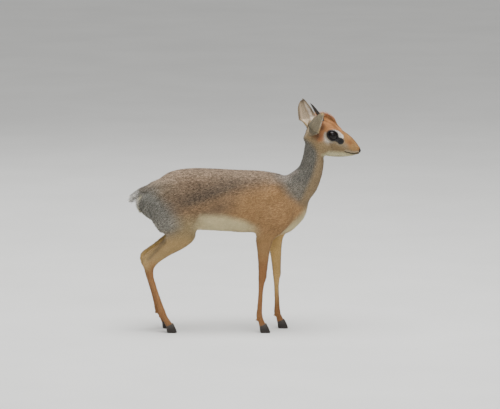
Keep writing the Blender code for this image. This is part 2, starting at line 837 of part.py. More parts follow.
def limb_at(limb, height):
    """The limb's own section at a height, between the ones that it is drawn from."""
    rows = limb_sections(FORELEG if limb.startswith("fore") else HINDLEG, limb)
    for first, second in zip(rows, rows[1:]):
        if first.z >= height >= second.z:
            share = (first.z - height) / (first.z - second.z)
            return Section(*(a + (b - a) * share for a, b in zip(first, second)))
    raise ValueError(f"{limb} has no section at {height}")


def part_flesh(flesh, anchors, collection):
    """Every closed piece that the cuts leave becomes the node whose anchor is nearest to its middle."""
    best = {}
    for shell in shells_of(flesh):
        corners = [v.co for v in shell.verts]
        low = Vector(map(min, zip(*corners)))
        high = Vector(map(max, zip(*corners)))
        middle = (low + high) / 2
        name = min(anchors, key=lambda key: (anchors[key] - middle).length)
        volume = abs(shell.calc_volume())
        if name in best and best[name][0] >= volume:
            shell.free()
            continue
        if name in best:
            best[name][1].free()
        best[name] = (volume, shell)
    bpy.data.objects.remove(flesh)
    missing = sorted(set(anchors) - set(best))
    if missing:
        raise ValueError("not parted: " + ", ".join(missing))
    return {name: object_from(best[name][1], name, collection) for name in anchors}


def node_anchors(ears, horns):
    anchors = {
        "head": Vector((0.210, 0.0, 0.480)),
        "neck": Vector((0.135, 0.0, 0.395)),
        "torso": Vector((-0.055, 0.0, 0.318)),
        "tail": Vector((-0.274, 0.0, 0.336)),
    }
    for limb in LIMB_SHIFTS:
        end, side = limb.split("_")
        upper, lower = (0.175, 0.065) if end == "fore" else (0.200, 0.085)
        for part, height in (("upper", upper), ("lower", lower)):
            row = limb_at(limb, height)
            anchors[f"{end}leg_{side}_{part}"] = Vector((row.x, row.y, row.z))
    for side, (base, axis) in zip(("right", "left"), ears):
        anchors[f"ear_{side}"] = base + axis * 0.044
    for side, (base, axis) in zip(("right", "left"), horns):
        anchors[f"horn_{side}"] = base + axis * 0.032
    return anchors


def finish(nodes):
    """The model stands on the floor with the middle of its bounding box over the origin."""
    corners = [v.co for node in nodes for v in node.data.vertices]
    low = Vector(map(min, zip(*corners)))
    high = Vector(map(max, zip(*corners)))
    middle = (low + high) / 2
    offset = Vector((-middle.x, -middle.y, -low.z))
    for node in nodes:
        node.data.transform(Matrix.Translation(offset))
        node.data.update()
    return offset


def build():
    clear_scene()
    model = new_collection("dik_dik")
    cutters = new_collection("cutters")
    forms = [loft("torso", TORSO, model, squareness=2.3)]
    forms.append(loft("neck", NECK, model))
    forms.append(loft("tail", TAIL, model, sides=16))
    forms += head_forms(model)
    for limb in LIMB_SHIFTS:
        forms += limb_forms(limb, model)
    for centre, radii, pitch in BODY_MASSES:
        for side in (-1, 1):
            turn = Matrix.Rotation(math.radians(-pitch), 4, "Y")
            place = (centre[0], side * centre[1], centre[2])
            forms.append(ellipsoid("mass", place, radii, model, turn))
    flesh = fused("flesh", forms, model)

    ears = []
    horns = []
    added = []
    for side in (-1, 1):
        obj, base, axis = ear("ear", side, cutters)
        added.append(obj)
        ears.append((base, axis))
        obj, base, axis = horn("horn", side, cutters)
        added.append(obj)
        horns.append((base, axis))
        added.append(lids(side, cutters))
    added += crest(cutters) + tail_tuft(cutters)
    for limb in LIMB_SHIFTS:
        added += dew_claws(limb, cutters)
    boolean(flesh, added, "UNION")

    taken = [mouth_cutter(cutters)] + nostrils(cutters)
    for side in (-1, 1):
        taken += eye_cutters(side, cutters)
    for limb in LIMB_SHIFTS:
        taken.append(below_coronet(limb, cutters))
    boolean(flesh, taken, "DIFFERENCE")
    boolean(flesh, parting_slabs(ears, horns, cutters), "DIFFERENCE")
    nodes = part_flesh(flesh, node_anchors(ears, horns), model)

    for side, word in ((-1, "right"), (1, "left")):
        nodes[f"eye_{word}"] = ellipsoid(
            f"eye_{word}",
            (0, 0, 0),
            (EYE_RADIUS,) * 3,
            model,
            place=eye_frame(side),
            detail=(20, 12),
        )
    for limb in LIMB_SHIFTS:
        end, word = limb.split("_")
        for across, place in ((-1, "right"), (1, "left")):
            where = "outer" if place == word else "inner"
            name = f"hoof_{end}_{word}_{where}"
            nodes[name] = claw(name, limb, across, model)

    for name, node in nodes.items():
        kind = name.split("_")[0]
        colour, roughness = COLOURS.get(kind, COLOURS["coat"])
        node.data.materials.clear()
        node.data.materials.append(material(name, colour, roughness))
    bpy.data.collections.remove(cutters)
    return finish(list(nodes.values()))


if __name__ == "__main__":
    build()
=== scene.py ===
"""The looks of a life-size dik-dik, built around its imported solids.

One skin stands in for all the flesh, with a short coat of mesh tufts over it. Eyes, lids, lashes, ears,
horns, hooves and the crest are pieces of their own. Everything is in metres, +Z up, in the frame of the
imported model.
"""

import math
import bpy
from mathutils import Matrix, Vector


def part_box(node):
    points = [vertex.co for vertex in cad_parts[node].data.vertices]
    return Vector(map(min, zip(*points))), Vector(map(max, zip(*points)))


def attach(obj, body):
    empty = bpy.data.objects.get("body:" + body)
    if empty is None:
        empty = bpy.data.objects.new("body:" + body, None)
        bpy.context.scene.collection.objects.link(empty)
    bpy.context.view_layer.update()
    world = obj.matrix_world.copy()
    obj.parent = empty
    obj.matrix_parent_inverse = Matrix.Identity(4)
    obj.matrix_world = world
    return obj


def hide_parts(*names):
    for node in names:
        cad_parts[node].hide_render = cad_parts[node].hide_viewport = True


bl_info = {
    "name": "Dik-dik",
    "version": (1, 0, 0),
    "blender": (4, 5, 0),
    "location": "View3D > Sidebar > Dik-dik",
    "description": "Builds the skin, coat, face, horns and hooves of a dik-dik around its packed solids",
    "category": "Object",
}

import bmesh
import bpy
import numpy as np
from bpy.props import FloatProperty, FloatVectorProperty, IntProperty, PointerProperty
from mathutils import Matrix, Vector
from mathutils.bvhtree import BVHTree

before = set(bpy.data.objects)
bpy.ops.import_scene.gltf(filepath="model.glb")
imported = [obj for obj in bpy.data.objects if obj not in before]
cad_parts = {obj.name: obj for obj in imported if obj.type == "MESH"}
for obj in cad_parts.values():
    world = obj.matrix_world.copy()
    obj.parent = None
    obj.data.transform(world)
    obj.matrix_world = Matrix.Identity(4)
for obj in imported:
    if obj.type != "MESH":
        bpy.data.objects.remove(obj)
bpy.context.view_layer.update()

# Values that the solid head is drawn with, in the head's own axes: along, across and over.
HEAD_PITCH = math.radians(19.2)
HEAD_YAW = math.radians(8.0)
DRAWN_HEAD_ORIGIN = Vector((0.150, 0.0, 0.490))
EYE_PLACE = Vector((0.0540, 0.0210, 0.0132))
EYE_LOOKS = (0.06, 0.99, 0.08)
EYE_SLANT = math.radians(-20.0)
EYE_RADIUS = 0.0136
LID_RADIUS = 0.0156
EYE_OPENING = (0.0124, 0.0100)
HORN_LENGTH = 0.047
HORN_RADIUS = 0.0055
HORN_BASE = (0.0200, 0.0105, 0.0400)
HORN_POINTS = (-0.77, 0.10, 0.64)
HORN_ROOT = 0.13
EARS = {
    -1: ((0.1660, -0.0200, 0.4790), (0.1872, -0.0600, 0.5450), (0.62, 0.78, 0.05)),
    1: ((0.1600, 0.0150, 0.5000), (0.1390, 0.0430, 0.5655), (0.34, -0.93, 0.05)),
}
# For each ear: half width of its leaf, half its curl in degrees where it is open, how far it stands ahead,
# how far its root is tucked back, its length as a share of the way from root to tip, how much squarer its
# top is, and how much of its front half is left out at the root.
EAR_LEAVES = {
    -1: (0.0188, 47, 0.0, (-0.0130, 0.0055, 0.0030), 1.0, 0.0, 0.5),
    1: (0.0230, 40, 0.0058, (-0.0105, -0.0055, -0.0010), 1.03, 0.12, 0.0),
}
# The photograph looks this way, so a shift along it straightens an ear and keeps its outline there.
LOOK = Vector((0.0, math.cos(math.radians(8)), -math.sin(math.radians(8))))
EAR_STRAIGHTENED = 0.55
EAR_ROOT_RADIUS = 0.0053
MOUTH_LINE = (
    (0.1000, -0.0150),
    (0.1060, -0.0150),
    (0.1130, -0.0146),
    (0.1200, -0.0138),
    (0.1250, -0.0120),
    (0.1300, -0.0090),
    (0.1500, -0.0060),
)
# Sections of the head: along, middle, above, below, half width.
HEAD = (
    (-0.004, 0.004, 0.0220, 0.0200, 0.0180),
    (0.006, 0.002, 0.0345, 0.0300, 0.0235),
    (0.020, 0.0, 0.0435, 0.0390, 0.0256),
    (0.035, 0.0, 0.0462, 0.0430, 0.0264),
    (0.050, 0.0, 0.0430, 0.0420, 0.0262),
    (0.065, 0.0, 0.0368, 0.0400, 0.0240),
    (0.080, 0.0, 0.0318, 0.0366, 0.0205),
    (0.095, 0.0, 0.0274, 0.0322, 0.0172),
    (0.109, 0.0, 0.0218, 0.0268, 0.0146),
    (0.121, -0.001, 0.0160, 0.0203, 0.0128),
    (0.131, -0.003, 0.0105, 0.0112, 0.0102),
    (0.1385, -0.004, 0.0050, 0.0050, 0.0062),
)
HEAD_SIDES = 48
HEAD_ROUNDNESS = 2 / 2.3
# The swelling under each ear: how far up the ear's axis, and its radii.
EAR_ROOT_REACH = 0.0045
EAR_ROOT_RADII = (0.0098, 0.0088, 0.0150)
# Soft masses of the head: centre, radii, pitch in degrees.
HEAD_MASSES = (
    ((0.045, 0.0180, -0.0200), (0.0260, 0.0120, 0.0210), 10),
    ((0.057, 0.0185, 0.0140), (0.0200, 0.0135, 0.0185), -10),
    ((0.083, 0.0150, 0.0075), (0.0085, 0.0068, 0.0070), 0),
    ((0.112, 0.0080, -0.0020), (0.0170, 0.0078, 0.0130), -25),
    ((0.018, 0.0170, 0.0210), (0.0160, 0.0120, 0.0170), 0),
)
# Planes that part the head from the neck and the neck from the torso: a point, and the way that they face.
HEAD_PLANE = ((0.167, 0.4567), (0.698, 0.716))
NECK_PLANE = ((0.125, 0.358), (0.785, 0.62))
SIDES = ((-1, "right"), (1, "left"))
LIMBS = ("foreleg_right", "foreleg_left", "hindleg_right", "hindleg_left")
FLESH = ["head", "neck", "torso", "tail"]
FLESH += [f"{limb}_{part}" for limb in LIMBS for part in ("upper", "lower")]


def box_middle(node):
    low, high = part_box(node)
    return (low + high) / 2


def head_turn():
    return Matrix.Rotation(HEAD_YAW, 4, "Z") @ Matrix.Rotation(HEAD_PITCH, 4, "Y")


def head_frame():
    """From the head's own axes to the model's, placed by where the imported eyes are."""
    between = (box_middle("eye_left") + box_middle("eye_right")) / 2
    origin = between - head_turn() @ Vector((EYE_PLACE.x, 0, EYE_PLACE.z))
    return Matrix.Translation(origin) @ head_turn()


HEAD_FRAME = head_frame()
SHIFT = HEAD_FRAME.translation - DRAWN_HEAD_ORIGIN


def eye_frame(side):
    """From an eye's own axes, forward, up and outward, to the model's."""
    outward = Vector((EYE_LOOKS[0], side * EYE_LOOKS[1], EYE_LOOKS[2])).normalized()
    forward = Vector((math.cos(EYE_SLANT), 0, math.sin(EYE_SLANT)))
    forward = (forward - outward * forward.dot(outward)).normalized()
    up = outward.cross(forward) * -side
    turn = Matrix((forward, up, outward)).transposed().to_4x4()
    place = Matrix.Translation((EYE_PLACE.x, side * EYE_PLACE.y, EYE_PLACE.z))
    return HEAD_FRAME @ place @ turn


# Settings


def colour_setting(name, description, value):
    return FloatVectorProperty(
        name=name,
        description=description,
        subtype="COLOR",
        size=3,
        min=0,
        max=1,
        default=value,
    )


def length_setting(name, description, value):
    return FloatProperty(
        name=name,
        description=description,
        unit="LENGTH",
        subtype="DISTANCE",
        min=0,
        precision=4,
        default=value,
    )


class DikDikColours(bpy.types.PropertyGroup):
    back: colour_setting("Back", "Grizzled brown of the back", (0.186, 0.125, 0.077))
    saddle: colour_setting("Saddle", "Darker band low on the back", (0.088, 0.067, 0.047))
    flank: colour_setting("Flank", "Orange-tan of flank and shoulder", (0.340, 0.195, 0.082))
    belly: colour_setting("Belly", "Cream of the belly and brisket", (0.600, 0.510, 0.290))
    neck: colour_setting("Neck", "Blue-grey of the neck and withers", (0.106, 0.099, 0.082))
    throat: colour_setting("Throat stripe", "Tan of the front of the neck", (0.275, 0.195, 0.105))
    rump: colour_setting("Rump", "Blue-grey of the rump and thigh", (0.138, 0.130, 0.109))
    thigh: colour_setting("Thigh", "Olive-tan in front of the thigh", (0.290, 0.215, 0.108))
    shank: colour_setting("Shank", "Tan of the shank", (0.350, 0.235, 0.100))
    rust: colour_setting("Rust", "Rust of the lower legs", (0.315, 0.150, 0.055))
    inside: colour_setting("Inside", "Pale inside of the legs", (0.540, 0.355, 0.130))
    forehead: colour_setting("Forehead", "Rust-orange of the forehead", (0.480, 0.215, 0.078))
    muzzle: colour_setting("Muzzle", "Golden tan of the muzzle", (0.480, 0.250, 0.088))
    rusty: colour_setting("Rust patches", "Darkest rust of the face", (0.270, 0.098, 0.036))
    crest: colour_setting("Crest", "Orange of the crest", (0.640, 0.310, 0.115))
    cheek: colour_setting("Cheek", "Olive-tan of the cheek", (0.275, 0.195, 0.098))
    chin: colour_setting("Chin", "Pale chin and lips", (0.520, 0.470, 0.280))
    ring: colour_setting("Eye ring", "White before and above the eye", (0.950, 0.900, 0.820))
    ring_back: colour_setting("Eye ring behind", "Pale grey behind the eye", (0.390, 0.335, 0.255))
    nape: colour_setting("Nape", "Cream behind the ears", (0.420, 0.320, 0.190))
    ear_back: colour_setting("Ear back", "Grey-olive back of the ear", (0.228, 0.192, 0.125))
    ear_inside: colour_setting("Ear inside", "Pinkish inside of the ear", (0.590, 0.470, 0.325))
    bare: colour_setting("Bare skin", "Black of nose, gland and lid rims", (0.012, 0.011, 0.012))
    horn: colour_setting("Horn", "Horns and hooves", (0.024, 0.019, 0.016))


class DikDikShape(bpy.types.PropertyGroup):
    voxel: length_setting("Voxel", "Grid size of the skin before the face is refined", 0.00245)
    body_depth: length_setting("Body coat depth", "How far the skin lies under the solids", 0.0028)
    face_depth: length_setting("Face coat depth", "Coat depth on the face", 0.0011)
    leg_depth: length_setting("Leg coat depth", "Coat depth on the legs", 0.0010)
    smoothing: IntProperty(
        name="Smoothing", description="Rounds that even out the facets", default=14, min=0
    )


class DikDikCoat(bpy.types.PropertyGroup):
    body_length: length_setting("Body hair", "Length of the tufts on the body", 0.0095)
    face_length: length_setting("Face hair", "Length of the tufts on the face", 0.0034)
    leg_length: length_setting("Leg hair", "Length of the tufts on the legs", 0.0045)
    cover: FloatProperty(
        name="Cover", description="Share of the full number of tufts", default=1.0, min=0.01, max=1.2
    )
    seed: IntProperty(name="Seed", description="Start of every random draw", default=11, min=0)


class DikDikStage(bpy.types.PropertyGroup):
    elevation: FloatProperty(
        name="Camera height",
        description="Angle of the camera above the horizon",
        subtype="ANGLE",
        default=math.radians(8.0),
    )
    distance: length_setting("Camera distance", "From the camera to the animal", 12.0)
    wide: length_setting("View width", "Width that the picture covers at the animal", 1.225)
    strength: FloatProperty(
        name="Sky", description="Strength of the soft light from all round", default=0.62, min=0
    )


def settings():
    return bpy.context.scene.dik_dik


class DikDikSettings(bpy.types.PropertyGroup):
    colours: PointerProperty(
        type=DikDikColours, name="Colours", description="Colours of the coat and bare parts"
    )
    shape: PointerProperty(
        type=DikDikShape, name="Shape", description="Sizes of the skin under the coat"
    )
    coat: PointerProperty(type=DikDikCoat, name="Coat", description="Sizes of the hair")
    stage: PointerProperty(
        type=DikDikStage, name="Stage", description="Camera and light"
    )


# Shader helpers


class Wire:
    """A shader socket that arithmetic can be written on."""

    def __init__(self, shader, socket):
        self.shader = shader
        self.socket = socket

    def _math(self, operation, first, second):
        return self.shader.node("ShaderNodeMath", {"operation": operation}, {0: first, 1: second})

    def __add__(self, other):
        return self._math("ADD", self, other)

    def __radd__(self, other):
        return self._math("ADD", other, self)

    def __sub__(self, other):
        return self._math("SUBTRACT", self, other)

    def __rsub__(self, other):
        return self._math("SUBTRACT", other, self)

    def __mul__(self, other):
        return self._math("MULTIPLY", self, other)

    def above(self, other):
        return self._math("GREATER_THAN", self, other)


class Shader:
    """A new material, with short ways to add nodes to it."""

    def __init__(self, name, roughness=0.8):
        self.material = bpy.data.materials.new(name)
        self.material.use_nodes = True
        self.tree = self.material.node_tree
        self.principled = self.tree.nodes["Principled BSDF"]
        self.set("Roughness", roughness)

    def node(self, kind, options=None, values=None, output=0):
        made = self.tree.nodes.new(kind)
        for key, value in (options or {}).items():
            setattr(made, key, value)
        for key, value in (values or {}).items():
            self.feed(made.inputs[key], value)
        return Wire(self, made.outputs[output])

    def feed(self, socket, value):
        if isinstance(value, Wire):
            self.tree.links.new(value.socket, socket)
        elif socket.type == "RGBA" and len(value) == 3:
            socket.default_value = (*value, 1)
        else:
            socket.default_value = value

    def set(self, name, value):
        self.feed(self.principled.inputs[name], value)

    def mix(self, share, first, second, blend="MIX"):
        options = {"data_type": "RGBA", "blend_type": blend}
        return self.node("ShaderNodeMix", options, {0: share, 6: first, 7: second}, output=2)

    def grey(self, level):
        """A number as a colour."""
        return self.node("ShaderNodeCombineColor", None, {0: level, 1: level, 2: level})

    def attribute(self, name, part="Fac"):
        made = self.tree.nodes.new("ShaderNodeAttribute")
        made.attribute_name = name
        return Wire(self, made.outputs[part])

    def place(self, scale=(1, 1, 1)):
        """Object coordinates, stretched."""
        where = self.node("ShaderNodeTexCoord", output=3)
        return self.node("ShaderNodeMapping", None, {0: where, 3: scale})

    def noise(self, scale, detail, where=None):
        values = {"Scale": scale, "Detail": detail, "Roughness": 0.55}
        values["Vector"] = where or self.place()
        return self.node("ShaderNodeTexNoise", None, values)

    def span(self, value, low, high, to_low=0.0, to_high=1.0):
        values = {0: value, 1: low, 2: high, 3: to_low, 4: to_high}
        return self.node("ShaderNodeMapRange", None, values)

    def bump(self, height, distance, strength):
        values = {"Height": height, "Distance": distance, "Strength": strength}
        self.set("Normal", self.node("ShaderNodeBump", None, values))


# Mesh helpers


def new_object(name, mesh):
    obj = bpy.data.objects.new(name, mesh)
    bpy.context.scene.collection.objects.link(obj)
    return obj


def object_from_bmesh(bm, name):
    mesh = bpy.data.meshes.new(name)
    bm.to_mesh(mesh)
    bm.free()
    return new_object(name, mesh)


def baked(obj):
    """The object with its modifiers applied to a plain mesh."""
    graph = bpy.context.evaluated_depsgraph_get()
    graph.update()
    mesh = bpy.data.meshes.new_from_object(
        obj.evaluated_get(graph), preserve_all_data_layers=True, depsgraph=graph
    )
    obj.modifiers.clear()
    obj.data = mesh
    return obj


def smooth_shaded(obj):
    obj.data.shade_smooth()
    return obj


def finished(obj, material, slot, *nodes):
    """A piece of the model: its material, its body, its slot, which is not used, and the nodes that it
    stands for.
    """
    obj.data.materials.clear()
    obj.data.materials.append(material)
    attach(obj, "root")
    if nodes:
        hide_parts(*nodes)
    return obj


def step(low, high, value):
    """0 below low, 1 above high, smooth between. With low above high it falls instead."""
    share = np.clip((value - low) / (high - low), 0, 1)
    return share * share * (3 - 2 * share)


def mixed(first, second, share):
    """The first where the share is 0, and the second where it is 1."""
    return first * (1 - share) + second * share


def bell(value, wide):
    """1 at 0, falling away within so much on each side."""
    return np.exp(-((value / wide) ** 2))


def positions(mesh):
    found = np.zeros(len(mesh.vertices) * 3)
    mesh.vertices.foreach_get("co", found)
    return found.reshape(-1, 3)


def set_positions(mesh, points):
    mesh.vertices.foreach_set("co", points.astype(np.float32).ravel())
    mesh.update()


def normals(mesh):
    found = np.zeros(len(mesh.vertices) * 3, np.float32)
    mesh.vertex_normals.foreach_get("vector", found)
    return found.reshape(-1, 3).astype(float)


def transformed(points, matrix):
    whole = np.array(matrix)
    return points @ whole[:3, :3].T + whole[:3, 3]


KINDS = {"marking": "FLOAT_COLOR", "lie": "FLOAT_VECTOR", "patch": "FLOAT_VECTOR"}


def describe(mesh, **columns):
    """Writes attributes, each with a value for every vertex or one value for all, over any that it had."""
    for name, values in columns.items():
        kind = KINDS.get(name, "FLOAT")
        attribute = mesh.attributes.get(name) or mesh.attributes.new(name, kind, "POINT")
        if kind == "FLOAT":
            whole = np.zeros(len(mesh.vertices), np.float32)
            whole[:] = values
            attribute.data.foreach_set("value", whole)
        elif kind == "FLOAT_VECTOR":
            attribute.data.foreach_set("vector", values.astype(np.float32).ravel())
        else:
            whole = np.ones((len(values), 4), np.float32)
            whole[:, :3] = values
            attribute.data.foreach_set("color", whole.ravel())


def curved(rows, steps):
    """More rows between the given ones, on a Catmull-Rom curve through each number in them."""
    rows = np.array(rows, float)
    padded = np.vstack([rows[0], rows, rows[-1]])
    found = []
    for i in range(len(rows) - 1):
        a, b, c, d = padded[i : i + 4]
        for k in range(steps):
            t = k / steps
            curve = 2 * b + (c - a) * t + (2 * a - 5 * b + 4 * c - d) * t**2
            found.append((curve + (3 * b - a - 3 * c + d) * t**3) / 2)
    found.append(rows[-1])
    return np.array(found)


def join_rings(bm, rings, capped=True):
    """Faces between each ring of vertices and the next, and over both ends."""
    count = len(rings[0])
    for first, second in zip(rings, rings[1:]):
        for k in range(count):
            n = (k + 1) % count
            bm.faces.new((first[k], first[n], second[n], second[k]))
    if capped:
        bm.faces.new(rings[0])
        bm.faces.new(rings[-1])


def face_outward(bm):
    bm.normal_update()
    bmesh.ops.recalc_face_normals(bm, faces=bm.faces)


# Where things are on the animal


def past_plane(x, z, plane):
    """Distance beyond a plane, in the direction that it faces."""
    (x0, z0), (ahead, up) = plane
    return (x - x0) * ahead + (z - z0) * up


class Places:
    """Points of the skin seen as parts of the animal: how far each belongs to the head, neck or a leg."""

    def __init__(self, points, facing=None):
        self.x, self.y, self.z = (points - np.array(SHIFT)).T
        self.side = np.abs(self.y)
        # Height as a level look from the side would show it.
        self.level = self.z - 0.14 * self.side
        self.facing = facing
        local = transformed(points, HEAD_FRAME.inverted())
        self.along = local[:, 0]
        self.across = np.abs(local[:, 1])
        self.over = local[:, 2]
        self.head = step(-0.006, 0.006, past_plane(self.x, self.z, HEAD_PLANE))
        self.neck = step(-0.030, 0.020, past_plane(self.x, self.z, NECK_PLANE)) * (1 - self.head)
        fore = (self.x > -0.03) & (self.x < 0.13)
        self.foreleg = step(0.262, 0.232, self.z) * fore
        self.hindleg = step(0.262, 0.225, self.z) * (self.x < -0.10)
        self.tail = step(-0.252, -0.262, self.x) * step(0.29, 0.31, self.z)


# Edges between markings: places along the animal or up it, and where the edge is at each.
RUST_EDGE = (
    (0.0, 0.012, 0.030, 0.040, 0.060, 0.085, 0.100, 0.115, 0.138),
    (0.014, 0.000, -0.007, -0.003, 0.012, 0.006, -0.002, -0.005, -0.005),
)
CHIN_EDGE = (
    (0.0, 0.045, 0.06, 0.08, 0.10, 0.13),
    (-0.06, -0.042, -0.026, -0.022, -0.017, -0.014),
)
FLANK_EDGE = (
    (-0.15, -0.112, -0.052, 0.007, 0.067, 0.10),
    (0.290, 0.302, 0.325, 0.347, 0.362, 0.365),
)
RUMP_EDGE = (
    (0.24, 0.26, 0.28, 0.30, 0.32, 0.34),
    (-0.180, -0.165, -0.168, -0.178, -0.196, -0.218),
)
THROAT_EDGE = (
    (0.320, 0.333, 0.365, 0.389, 0.429, 0.46),
    (0.130, 0.139, 0.154, 0.163, 0.1735, 0.178),
)
WITHERS_EDGE = ((0.320, 0.341, 0.365, 0.401, 0.42), (0.130, 0.107, 0.090, 0.066, 0.045))
CREAM_EDGE = ((-0.125, -0.108, -0.05, 0.0, 0.03), (0.268, 0.2865, 0.2845, 0.272, 0.260))
BIB_EDGE = ((0.24, 0.27, 0.30, 0.33), (0.030, 0.028, 0.019, 0.008))
# Ellipses round the eye and the gland, along and over the head: centre, radii and any turn.
EYE_BLACK = ((0.0546, 0.0134), (0.0162, 0.0132), EYE_SLANT)
GLAND_BLACK = ((0.0790, 0.0062), (0.0088, 0.0082), -0.4)
EYE_RING = ((0.0565, 0.0115), (0.0232, 0.0178))
# Markings beside the eye start this far from the middle of the face.
SIDE_OF_FACE = 0.010
# Lines that markings follow, on the head (along, over) and on the body (along, up).
EYE_STRIP = ((0.0630, 0.0095), (0.0760, 0.0070))
CHEEK_STREAK = ((0.070, -0.017), (0.084, -0.013), (0.098, -0.010))
WHITE_WEDGE = ((0.0545, 0.0222), (0.0630, 0.0228), (0.0790, 0.0172))
BRISKET = ((0.1575, 0.318), (0.1389, 0.2944), (0.1203, 0.2627), (0.1041, 0.2480), (0.0600, 0.2380))
HOCK = ((-0.250, 0.176), (-0.246, 0.164))
# Painted shade down the groove before the tendon of each hind leg.
SHANK_GROOVE_SHADE = ((-0.197, 0.230), (-0.240, 0.184))
# Shades between the colours that are settings.
STREAK_BROWN = (0.19, 0.125, 0.060)
LIP_BROWN = (0.42, 0.33, 0.21)
UNDER_EYE = (0.40, 0.33, 0.225)
UMBER = (0.188, 0.121, 0.069)
# Painted shade: darker brown low on the shoulder, by the elbow.
ELBOW_PAINTED_SHADE = (0.218, 0.121, 0.050)
# Painted light: paler brown on the top of the back, where it faces up.
BACK_PAINTED_LIGHT = (0.350, 0.255, 0.172)
# Painted light: paler grey on the top of the neck, where it faces up.
NECK_PAINTED_LIGHT = (0.34, 0.275, 0.222)
LOW_NECK = (0.240, 0.205, 0.155)
LOW_RUMP = (0.250, 0.230, 0.190)
TAIL_TIP = (0.50, 0.480, 0.440)
HOCK_TAN = (0.45, 0.31, 0.130)
PASTERN = (0.10, 0.055, 0.030)
# How much brighter the croup is in red, green and blue.
CROUP_GAIN = (0.12, 0.24, 0.32)
# Soft patches of the face: share, centre, radii, turn, and a colour or the name of a setting.
FACE_PATCHES = (
    (0.95, (0.0285, 0.001), (0.0085, 0.0120), 0.0, "rusty"),
    # Painted shadow of the ear at the temple, by the ear's front base.
    (0.92, (0.0245, 0.025), (0.0085, 0.0120), 0.0, (0.125, 0.056, 0.024)),
    (0.95, (0.0160, 0.001), (0.0095, 0.0095), 0.0, (0.140, 0.070, 0.031)),
    (0.75, (0.018, 0.033), (0.0085, 0.0075), 0.0, "rusty"),
    (0.9, (0.0170, 0.011), (0.0045, 0.0045), 0.0, (0.035, 0.024, 0.016)),
    (0.7, (0.105, 0.010), (0.0075, 0.0060), -0.4, "rusty"),
    (0.5, (0.118, 0.003), (0.0080, 0.0055), -0.4, (0.30, 0.22, 0.10)),
    (0.85, (0.096, -0.001), (0.0080, 0.0060), -0.3, (0.34, 0.28, 0.19)),
    (0.5, (0.104, -0.006), (0.0100, 0.0060), -0.3, (0.230, 0.150, 0.075)),
)


def ellipse(u, v, centre, radii, turn=0.0):
    """0 at the middle of an ellipse and 1 on its edge."""
    c, s = math.cos(turn), math.sin(turn)
    du, dv = u - centre[0], v - centre[1]
    return np.hypot((du * c + dv * s) / radii[0], (dv * c - du * s) / radii[1])


def line_distance(u, v, line):
    """Distance to a line of points in a plane."""
    best = np.full(len(u), 1.0)
    for (u0, v0), (u1, v1) in zip(line, line[1:]):
        du, dv = u1 - u0, v1 - v0
        share = np.clip(((u - u0) * du + (v - v0) * dv) / (du * du + dv * dv), 0, 1)
        best = np.minimum(best, np.hypot(u - u0 - share * du, v - v0 - share * dv))
    return best


def black_of_face(at):
    """Distance outside the black of the eye rim, the strip before it and the gland, in metres."""
    eye = (ellipse(at.along, at.over, *EYE_BLACK) - 1) * 0.0140
    gland = (ellipse(at.along, at.over, *GLAND_BLACK) - 1) * 0.0084
    strip = line_distance(at.along, at.over, EYE_STRIP) - 0.0066
    return np.minimum(np.minimum(eye, gland), strip)


def blend(base, share, colour):
    return mixed(base, np.array(colour[:]), np.clip(share, 0, 1)[:, None])


def covered(colour, count):
    """One colour for each of so many points."""
    return np.tile(np.array(colour[:]), (count, 1))


def spot(u, v, centre, radii):
    """1 at the centre of a soft spot of a plane, falling away round it."""
    return np.exp(-(((u - centre[0]) / radii[0]) ** 2) - ((v - centre[1]) / radii[1]) ** 2)


def patch(at, centre, radii, turn=0.0):
    """1 in the middle of a soft patch of the face, falling away round it."""
    return np.exp(-(ellipse(at.along, at.over, centre, radii, turn) ** 2)) * (at.across > 0.006)


def face_markings(at, colours):
    """Colours of the head, and how grizzled and how bare each point is."""
    along, over = at.along, at.over
    rust = step(-0.007, 0.006, over - np.interp(along, *RUST_EDGE))
    warm = covered(colours.forehead, len(along))
    warm = blend(warm, step(0.062, 0.092, along), colours.muzzle)
    made = mixed(covered(colours.cheek, len(along)), warm, rust[:, None])
    for share, centre, radii, turn, colour in FACE_PATCHES:
        if isinstance(colour, str):
            colour = getattr(colours, colour)
        made = blend(made, share * patch(at, centre, radii, turn), colour)
    streak = line_distance(along, over, CHEEK_STREAK)
    made = blend(made, 0.45 * step(0.0060, 0.0010, streak), STREAK_BROWN)
    made = blend(made, step(0.006, -0.006, over - np.interp(along, *CHIN_EDGE)), colours.chin)
    lip = line_distance(along, over, MOUTH_LINE)
    above = (over > np.interp(along, *zip(*MOUTH_LINE))) * step(0.096, 0.103, along)
    made = blend(made, 0.75 * step(0.0075, 0.0035, lip) * above, LIP_BROWN)
    made = blend(made, step(0.012, -0.002, along) * step(-0.012, 0.010, over), colours.nape)
    grey = step(0.030, 0.006, along) * step(-0.012, -0.026, over)
    made = blend(made, grey, colours.neck)
    # The pale ring round the eye: grey behind, white before and above
    outside = black_of_face(at)
    around = ellipse(along, over, *EYE_RING)
    behind = step(1.05, 0.90, around) * (1 - 0.8 * step(0.056, 0.068, along) * step(0.006, 0.0, over))
    thin = 1 - 0.85 * step(0.013, 0.019, over) * step(0.056, 0.048, along)
    aside = at.across > SIDE_OF_FACE
    made = blend(made, behind * thin * aside, colours.ring_back)
    made = blend(made, 0.45 * patch(at, (0.046, -0.003), (0.0085, 0.0045), -0.5), colours.ring)
    wedge = line_distance(along, over, WHITE_WEDGE)
    white = step(0.0062, 0.0046, wedge) * aside * step(0.010, 0.015, over)
    made = blend(made, white, colours.ring)
    under = step(0.0050, 0.0020, outside) * aside * step(0.064, 0.070, along)
    made = blend(made, 0.6 * under * (1 - white), UNDER_EYE)
    # Bare black skin: lid rims and gland, lips and nose
    black = step(0.0010, -0.0010, outside) * aside
    made = blend(made, black, colours.bare)
    made = blend(made, 0.9 * step(0.0021, 0.0009, lip) * step(0.097, 0.101, along), colours.bare)
    nose = step(0.1305, 0.1335, along - 0.45 * np.abs(over + 0.002)) * step(-0.0085, -0.006, over)
    made = blend(made, nose, colours.bare)
    grizzle = (0.45 - 0.30 * rust + 0.4 * grey) * (1 - white) * (1 - nose)
    return made, grizzle, np.maximum(black, nose)


